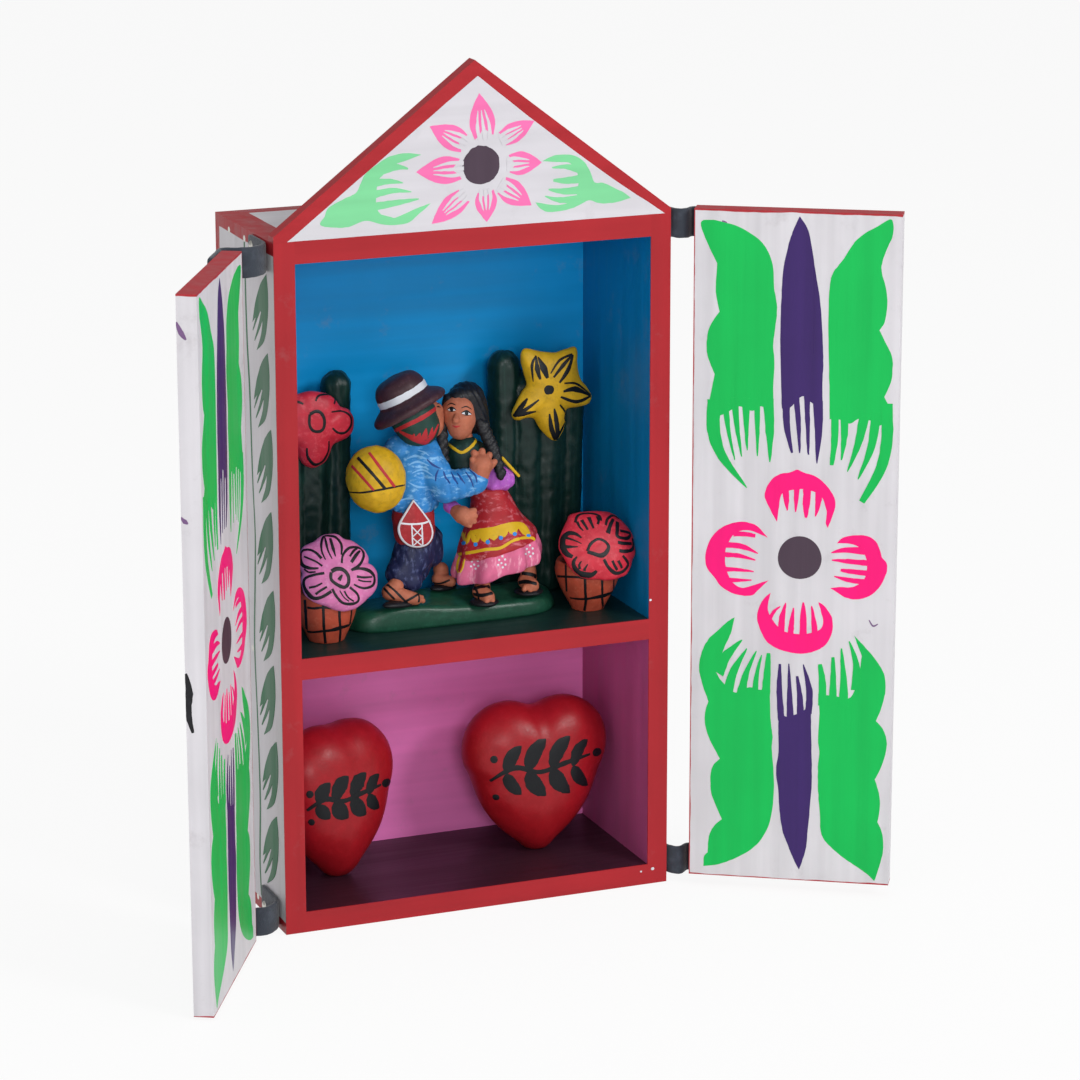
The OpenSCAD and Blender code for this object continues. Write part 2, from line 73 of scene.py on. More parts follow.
def addNode(tree, kind, settings=None, inputs=None):
    node = tree.nodes.new(kind)
    for name, value in (settings or {}).items():
        setattr(node, name, value)
    for name, value in (inputs or {}).items():
        if isinstance(value, bpy.types.NodeSocket):
            tree.links.new(value, node.inputs[name])
        else:
            node.inputs[name].default_value = value
    return node


def newMaterial(name):
    material = bpy.data.materials.new(name)
    material.use_nodes = True
    tree = material.node_tree
    tree.nodes.clear()
    return material, tree


yaw, pitch, roll = (math.radians(studio[k]) for k in ("yaw", "pitch", "roll"))
cameraAt = Vector(studio["cameraAt"]) * mm
lookAlong = Vector((math.sin(yaw) * math.cos(pitch), math.cos(yaw) * math.cos(pitch), -math.sin(pitch)))
flatRight = Vector((math.cos(yaw), -math.sin(yaw), 0))
flatUp = flatRight.cross(lookAlong)
cameraRight = flatRight * math.cos(roll) + flatUp * math.sin(roll)
cameraUp = flatUp * math.cos(roll) - flatRight * math.sin(roll)
turn = Matrix((cameraRight, cameraUp, -lookAlong)).transposed()
cameraData = bpy.data.cameras.new("camera")
cameraData.lens = studio["lens"]
cameraData.sensor_width = studio["sensor"]
cameraData.sensor_fit = "HORIZONTAL"
cameraData.clip_start = 0.01
cameraData.clip_end = 60
camera = bpy.data.objects.new("camera", cameraData)
camera.matrix_world = Matrix.Translation(cameraAt) @ turn.to_4x4()
bpy.context.scene.collection.objects.link(camera)
bpy.context.scene.camera = camera
bpy.context.scene.view_settings.view_transform = "Standard"


def pixelRay(u, v):  # the ray through a pixel of the photograph
    half = studio["photoSide"] / 2
    return (
        lookAlong * studio["focalPixels"] + cameraRight * (u - half) - cameraUp * (v - half)).normalized()


def areaLamp(name, at, aim, size, watts):
    data = bpy.data.lights.new(name, "AREA")
    data.shape = "DISK"
    data.size = size
    data.energy = watts
    lamp = bpy.data.objects.new(name, data)
    lamp.location = at
    lamp.rotation_euler = (Vector(aim) - Vector(at)).to_track_quat("-Z", "Y").to_euler()
    bpy.context.scene.collection.objects.link(lamp)


for name, lamp in studio["lamps"].items():
    areaLamp(name, **lamp)
world = bpy.data.worlds.new("paleStudio")
world.use_nodes = True
world.node_tree.nodes["Background"].inputs["Color"].default_value = (1, 1, 1, 1)
world.node_tree.nodes["Background"].inputs["Strength"].default_value = studio["worldStrength"]
bpy.context.scene.world = world

# plain paper floor: pale, and whiter to the camera and in gloss, with the object's shadow kept
paper, tree = newMaterial("palePaper")
grain = addNode(tree, "ShaderNodeTexNoise", inputs={"Scale": 900.0, "Detail": 2.0})
bump = addNode(tree, "ShaderNodeBump",
    inputs={"Strength": 0.05, "Distance": 0.0002, "Height": grain.outputs["Fac"]})
matte = addNode(tree, "ShaderNodeBsdfPrincipled", inputs={
    "Base Color": toLinear(studio["floorHex"]), "Roughness": 0.9, "Normal": bump.outputs["Normal"]})
glow = addNode(tree, "ShaderNodeEmission", inputs={"Color": (1, 1, 1, 1), "Strength": 1.0})
path = addNode(tree, "ShaderNodeLightPath")
seen = addNode(tree, "ShaderNodeMath", {"operation": "MAXIMUM"})
tree.links.new(path.outputs["Is Camera Ray"], seen.inputs[0])
tree.links.new(path.outputs["Is Glossy Ray"], seen.inputs[1])
share = addNode(tree, "ShaderNodeMath", {"operation": "MULTIPLY"})
tree.links.new(seen.outputs[0], share.inputs[0])
share.inputs[1].default_value = studio["floorGlow"]
mix = addNode(tree, "ShaderNodeMixShader", inputs={"Fac": share.outputs[0]})
tree.links.new(matte.outputs[0], mix.inputs[1])
tree.links.new(glow.outputs[0], mix.inputs[2])
addNode(tree, "ShaderNodeOutputMaterial", inputs={"Surface": mix.outputs[0]})
bpy.ops.mesh.primitive_plane_add(size=studio["floorSide"], location=(0, 6, -0.0002))
floor = bpy.context.object
floor.name = "floor"
floor.data.materials.append(paper)
print("studio ready")

# finishes
grainAxes = {"x": (0.045, 1, 1), "y": (1, 0.045, 1), "z": (1, 1, 0.045)}


def mixColour(tree, mask, first, second, blend="MIX"):
    node = addNode(tree, "ShaderNodeMix", {"data_type": "RGBA", "blend_type": blend})
    for socket, value in ((node.inputs[0], mask), (node.inputs[6], first), (node.inputs[7], second)):
        if isinstance(value, bpy.types.NodeSocket):
            tree.links.new(value, socket)
        else:
            socket.default_value = value
    return node.outputs[2]


def mathNode(tree, operation, first, second=None, clamp=False):
    node = addNode(tree, "ShaderNodeMath", {"operation": operation, "use_clamp": clamp})
    for socket, value in zip(node.inputs, (first, second)):
        if isinstance(value, bpy.types.NodeSocket):
            tree.links.new(value, socket)
        elif value is not None:
            socket.default_value = value
    return node.outputs[0]


# Acrylic paint laid on wood with a flat brush: satin, streaked along the stroke, a little uneven in tone.
# Zones are (hex, centre mm, half size mm, wobble mm): the same coat changes colour inside these blocks.
def brushedAcrylic(name, hexColour, zones=(), grain="z", turned=None, gloss=0.42, streak=0.9, tone=0.16,
        dirt=0.0):
    material, tree = newMaterial(name)
    where = addNode(tree, "ShaderNodeTexCoord").outputs["Object"]
    if turned:  # a door's own closed position
        where = addNode(tree, "ShaderNodeMapping", {"vector_type": "POINT"}, {
            "Vector": where, "Location": turned[1], "Rotation": (0, 0, turned[0])}).outputs[0]
    stretch = addNode(tree, "ShaderNodeMapping",
        inputs={"Vector": where, "Scale": grainAxes[grain]}).outputs[0]
    bristles = addNode(tree, "ShaderNodeTexNoise",
        inputs={"Vector": stretch, "Scale": 1000 / 0.9, "Detail": 3.0})
    strokes = addNode(tree, "ShaderNodeTexNoise",
        inputs={"Vector": stretch, "Scale": 1000 / 5.0, "Detail": 2.0})
    clouds = addNode(tree, "ShaderNodeTexNoise",
        inputs={"Vector": where, "Scale": 1000 / 30.0, "Detail": 3.0})
    colour = toLinear(hexColour)
    if zones:
        wander = addNode(tree, "ShaderNodeTexNoise",
            inputs={"Vector": where, "Scale": 1000 / 9.0, "Detail": 2.0})
        centred = addNode(tree, "ShaderNodeVectorMath", {"operation": "SUBTRACT"},
            {0: wander.outputs["Color"], 1: (0.5, 0.5, 0.5)})
    for zoneHex, centre, half, wobble in zones:
        moved = addNode(tree, "ShaderNodeVectorMath", {"operation": "MULTIPLY_ADD"}, {
            0: centred.outputs[0], 1: (wobble * mm,) * 3, 2: where}).outputs[0]
        away = addNode(tree, "ShaderNodeVectorMath", {"operation": "SUBTRACT"},
            {0: moved, 1: Vector(centre) * mm})
        size = addNode(tree, "ShaderNodeVectorMath", {"operation": "ABSOLUTE"}, {0: away.outputs[0]})
        over = addNode(tree, "ShaderNodeVectorMath", {"operation": "SUBTRACT"},
            {0: size.outputs[0], 1: Vector(half) * mm})
        split = addNode(tree, "ShaderNodeSeparateXYZ", inputs={0: over.outputs[0]})
        far = mathNode(tree, "MAXIMUM", mathNode(tree, "MAXIMUM", split.outputs[0], split.outputs[1]),
            split.outputs[2])
        mask = mathNode(tree, "MULTIPLY", far, -5000.0, True)
        colour = mixColour(tree, mask, colour, toLinear(zoneHex))
    shade = mathNode(tree, "MULTIPLY_ADD", strokes.outputs["Fac"], 0.7)
    tree.links.new(mathNode(tree, "MULTIPLY", clouds.outputs["Fac"], 0.5), shade.node.inputs[2])
    lift = addNode(tree, "ShaderNodeMapRange", inputs={
        "Value": shade, "From Min": 0.35, "From Max": 0.85, "To Min": 1 - tone, "To Max": 1 + tone * 0.6})
    grey = addNode(tree, "ShaderNodeCombineColor",
        inputs={0: lift.outputs[0], 1: lift.outputs[0], 2: lift.outputs[0]})
    colour = mixColour(tree, 1.0, colour, grey.outputs[0], "MULTIPLY")
    if dirt:  # handling leaves thin grey smears
        smears = addNode(tree, "ShaderNodeTexNoise",
            inputs={"Vector": where, "Scale": 1000 / 14.0, "Detail": 6.0, "Roughness": 0.7})
        grime = addNode(tree, "ShaderNodeMapRange",
            inputs={"Value": smears.outputs["Fac"], "From Min": 0.58, "From Max": 0.75, "To Max": dirt})
        colour = mixColour(tree, grime.outputs[0], colour, toLinear("#8C8084"))
    rough = addNode(tree, "ShaderNodeMapRange", inputs={
        "Value": strokes.outputs["Fac"], "From Min": 0.3, "From Max": 0.7, "To Min": gloss - 0.07,
        "To Max": gloss + 0.1})
    relief = mathNode(tree, "MULTIPLY_ADD", bristles.outputs["Fac"], 0.6)
    tree.links.new(strokes.outputs["Fac"], relief.node.inputs[2])
    bump = addNode(tree, "ShaderNodeBump",
        inputs={"Strength": streak * 0.35, "Distance": 0.00018, "Height": relief})
    surface = addNode(tree, "ShaderNodeBsdfPrincipled", inputs={
        "Base Color": colour, "Roughness": rough.outputs[0], "Normal": bump.outputs["Normal"],
        "IOR": 1.47, "Specular IOR Level": 0.28})
    addNode(tree, "ShaderNodeOutputMaterial", inputs={"Surface": surface.outputs[0]})
    return material


def dress(node, material, bevelWidth=0.45):
    thing = nodes[node]
    thing.data.materials.clear()
    thing.data.materials.append(material)
    if bevelWidth:
        edge = thing.modifiers.new("softEdge", "BEVEL")
        edge.width = bevelWidth * mm
        edge.segments = 3
        edge.limit_method = "ANGLE"
        edge.angle_limit = math.radians(40)
        edge.harden_normals = True
    return thing


def outwardFaces(mesh):
    shell = bmesh.new()
    shell.from_mesh(mesh)
    bmesh.ops.recalc_face_normals(shell, faces=shell.faces)
    shell.to_mesh(mesh)
    shell.free()


def ringFaces(rows, count, footCap=True, topCap=True):  # faces over rows of rings with count points each
    faces = []
    for foot in range(0, (rows - 1) * count, count):
        for i in range(count):
            after = (i + 1) % count
            faces.append((foot + i, foot + after, foot + count + after, foot + count + i))
    if footCap:
        faces.append(tuple(range(count))[::-1])
    if topCap:
        faces.append(tuple(range((rows - 1) * count, rows * count)))
    return faces


def newPiece(name, verts, faces, material, body, smooth=True):
    mesh = bpy.data.meshes.new(name)
    mesh.from_pydata([tuple(v) for v in verts], [], faces)
    mesh.validate()
    piece = bpy.data.objects.new(name, mesh)
    bpy.context.scene.collection.objects.link(piece)
    mesh.materials.append(material)
    if smooth:
        mesh.polygons.foreach_set("use_smooth", [True] * len(mesh.polygons))
    if body:
        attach(piece, body)
    return piece


# case
case = {
    "width": 136, "height": 230, "depth": 60, "board": 7, "shelf": 86.5,
    "red": "#A9222A", "white": "#D6D3D8", "insideBlue": "#0094D4", "insidePink": "#E87CC0",
    # the two side colours below are darker copies of the inside paint for the inner faces of the side
    # boards: painted shade
    "shadedSideBlue": "#0078B0", "shadedSidePink": "#B45488",
    "shelfGreen": "#17302E", "lowerFloor": "#3A1F2C", "borderWidth": 4.2, "wood": "#B99C78",
}
halfW = case["width"] / 2
frontY = -case["depth"] / 2
backY = case["depth"] / 2
shelfTop = case["shelf"] + case["board"]
innerHalf = halfW - case["board"]
high = case["height"]
edge = case["borderWidth"]


def sideZones(side):
    outer, inner = side * halfW, side * innerHalf
    return [
        (case["red"], (outer, 0, high), (2, 60, edge), 0.9),
        (case["red"], (outer, 0, 0), (2, 60, edge), 0.9),
        (case["red"], (outer, backY, 115), (2, edge, 200), 0.9),
        # inner faces of the sides: the inside paint made darker, painted shade
        (case["shadedSideBlue"], (inner, 0, shelfTop + 100), (3.2, 40, 103), 0.3),
        (case["shadedSidePink"], (inner, 0, 40), (3.2, 40, 50), 0.3),
        (case["red"], (side * (halfW - 3.5), frontY, 115), (3.9, 0.5, 200), 0.5),
        (case["red"], (side * (halfW - 3.5), 0, high), (5, 60, 0.6), 0.4),
        (case["red"], (side * (halfW - 3.5), 0, 0), (5, 60, 0.6), 0.4),
    ]


def crossZones(z, above, below):
    return [
        (above, (0, 0, z + 7), (80, 60, 0.8), 0.2), (below, (0, 0, z), (80, 60, 0.8), 0.2),
        (case["red"], (0, frontY, z + 3.5), (80, 0.55, 5), 0.5),
    ]


dress("side_left",
    brushedAcrylic("brushedAcrylicOnSideBoardLeft", case["white"], sideZones(-1), "z", dirt=0.2))
dress("side_right",
    brushedAcrylic("brushedAcrylicOnSideBoardRight", case["white"], sideZones(1), "z", dirt=0.2))
topZones = crossZones(223, case["white"], case["insideBlue"])
topZones += [(case["red"], (0, frontY + 6, 230), (80, 3.5, 1), 0.8),
    (case["red"], (0, backY - 3, 230), (80, 3.2, 1), 0.8),
    (case["red"], (-61, 0, 230), (2.6, 60, 1), 0.8), (case["red"], (61, 0, 230), (2.6, 60, 1), 0.8)]
dress("top_board", brushedAcrylic("brushedAcrylicOnTopBoard", case["red"], topZones, "x"))
dress("bottom_board", brushedAcrylic("brushedAcrylicOnBottomBoard", case["red"],
    crossZones(0, case["lowerFloor"], case["wood"]), "x", gloss=0.36))
dress("shelf", brushedAcrylic("brushedAcrylicOnShelf", case["red"],
    crossZones(86.5, case["shelfGreen"], case["insidePink"]), "x", gloss=0.34))
dress("back_panel", brushedAcrylic("brushedAcrylicOnBackPanel", case["white"], [
    (case["insideBlue"], (0, 27.5, shelfTop + 98), (61.5, 0.8, 103), 0.2),
    (case["insidePink"], (0, 27.5, 45), (61.5, 0.8, 46), 0.2),
    (case["red"], (0, backY, 0), (80, 2.6, 3.5), 1.2),
    (case["red"], (0, backY, high), (80, 2.6, 3.5), 1.2),
    (case["red"], (-68, backY, 115), (3.5, 2.6, 200), 1.2),
    (case["red"], (68, backY, 115), (3.5, 2.6, 200), 1.2)], "x", dirt=0.3), 0.3)
dress("gable", brushedAcrylic("brushedAcrylicOnGable", case["red"], (), "x"))
print("case painted")

# doors
door = {
    -1: {"open": 119.3, "pin": (6.4, -1.6), "low": 0.8, "peel": 8.5, "fold": -1.1, "strapLow": 0.8,
        "strapHigh": 219.7, "body": "left_door"},
    1: {"open": 147.7, "pin": (3.5, 2.4), "low": 4.0, "peel": 7.0, "fold": 1.1, "strapLow": 2.6,
        "strapHigh": 221.8, "body": "right_door"},
}
doorFacts = {"height": 228.4, "thick": 6.4, "gap": 0.4, "inset": 0.2, "white": "#D8D5DA", "red": "#AE2A33"}


def rotated(x, y, degrees):
    a = math.radians(degrees)
    return x * math.cos(a) - y * math.sin(a), x * math.sin(a) + y * math.cos(a)


def planToModel(side, out, fore, z):
    return Vector((side * (halfW + out), frontY - fore, z)) * mm


# a place on a door, from its hinged edge and its foot
def doorSpot(side, across, up, lift, outerFace=False):
    facts = door[side]
    fore = doorFacts["gap"] + doorFacts["thick"] + lift if outerFace else doorFacts["gap"] - lift
    px, py = facts["pin"]
    x, y = rotated(-doorFacts["inset"] - across - px, fore - py, -facts["open"])
    return planToModel(side, x + px, y + py, facts["low"] + up)


def closedTurn(side):  # turns the open door's coordinates back to the closed door's
    facts = door[side]
    angle = math.radians(facts["open"]) * (-1 if side > 0 else 1)
    pin = planToModel(side, *facts["pin"], 0)
    c, s = math.cos(angle), math.sin(angle)
    return angle, (pin.x - (c * pin.x - s * pin.y), pin.y - (s * pin.x + c * pin.y), 0)


for side, node in ((-1, "door_left"), (1, "door_right")):
    low = door[side]["low"]
    hinge = side * (halfW - doorFacts["inset"])
    front = frontY - doorFacts["gap"]
    zones = [(doorFacts["red"], (0, front - 3, low + doorFacts["height"]), (90, 6, 0.7), 0.9),
        (doorFacts["red"], (0, front - 3, low), (90, 6, 0.5), 0.9),
        (doorFacts["red"], (hinge, front - 3, 115), (0.45, 6, 200), 0.6)]
    dress(node, brushedAcrylic("brushedAcrylicOn" + ("Left" if side < 0 else "Right") + "Door",
        doorFacts["white"], zones, "z", closedTurn(side), gloss=0.45, dirt=0.25), 0.6)
print("doors painted")


# brush marks on flat boards
def spline(a, b, c, d, t):  # a smooth curve from b to c
    return 0.5 * (
        2 * b + (c - a) * t + (2 * a - 5 * b + 4 * c - d) * t * t + (3 * b - a - 3 * c + d) * t ** 3)


def smoothLine(points, closed=False, steps=5):  # a point with a third value is a corner
    out, n = [], len(points)
    for i in range(n if closed else n - 1):
        near, there = points[i], points[(i + 1) % n]
        before = near if len(near) > 2 or (not closed and i == 0) else points[i - 1]
        after = there if len(there) > 2 or (not closed and i == n - 2) else points[(i + 2) % n]
        for j in range(steps):
            t = j / steps
            out.append(tuple(spline(*four, t) for four in zip(before[:2], near[:2], there[:2], after[:2])))
    if not closed:
        out.append(tuple(points[-1][:2]))
    return out


def strokeShape(points, widths):  # one pull of a brush: a soft round start and a thin end
    line = smoothLine(points, steps=6)
    left, right, last = [], [], len(line) - 1
    for i, (x, y) in enumerate(line):
        ax, ay = line[max(i - 1, 0)]
        bx, by = line[min(i + 1, last)]
        size = math.hypot(bx - ax, by - ay) or 1
        nx, ny = -(by - ay) / size, (bx - ax) / size
        place = i / last * (len(widths) - 1)
        k = min(int(place), len(widths) - 2)
        half = (widths[k] + (widths[k + 1] - widths[k]) * (place - k)) / 2
        half *= 1 + 0.1 * noise.noise(Vector((x * 0.9, y * 0.9, k)))
        left.append((x + nx * half, y + ny * half))
        right.append((x - nx * half, y - ny * half))
    return left + right[::-1]


def shaky(shape, amount=0.13):
    return [
        (x + amount * noise.noise(Vector((x * 0.6, y * 0.6, 3))),
            y + amount * noise.noise(Vector((x * 0.6, y * 0.6, 9)))) for x, y in shape]


def paintMarks(name, shapes, place, material, body, lift=0.06):
    verts, faces = [], []
    for k, shape in enumerate(shapes):
        base, n = len(verts), len(shape)
        verts += [place(x, y, lift + 0.003 * k) for x, y in shape] + [place(x, y, -0.05) for x, y in shape]
        for a, b, c in tessellate_polygon([[Vector((x, y, 0)) for x, y in shape]]):
            faces += [(base + a, base + b, base + c), (base + n + c, base + n + b, base + n + a)]
        faces += [(base + i, base + (i + 1) % n, base + n + (i + 1) % n, base + n + i) for i in range(n)]
    piece = newPiece(name, verts, faces, material, body, smooth=False)
    outwardFaces(piece.data)
    return piece


paints = {"green": "#06BC54", "gableGreen": "#7CD096", "pink": "#FF0A7C", "gablePink": "#EE6FAC",
    "purple": "#3B2366", "disc": "#4A3A48", "vine": "#2F6B48", "white": "#CFCCD2"}
greenPaint = brushedAcrylic("fluorescentGreenAcrylic", paints["green"], tone=0.12, gloss=0.4)
pinkPaint = brushedAcrylic("fluorescentPinkAcrylic", paints["pink"], tone=0.12, gloss=0.4)
purplePaint = brushedAcrylic("purpleAcrylic", paints["purple"], tone=0.22, gloss=0.34)
discPaint = brushedAcrylic("darkBrownAcrylic", paints["disc"], tone=0.14, gloss=0.42)
vinePaint = brushedAcrylic("darkGreenAcrylic", paints["vine"], tone=0.2, gloss=0.45)
gableGreenPaint = brushedAcrylic("paleGreenAcrylic", paints["gableGreen"], grain="x", tone=0.12)
gablePinkPaint = brushedAcrylic("palePinkAcrylic", paints["gablePink"], grain="x", tone=0.12)
whitePaint = brushedAcrylic("whiteAcrylicOverRed", paints["white"], grain="x", tone=0.1, dirt=0.15)

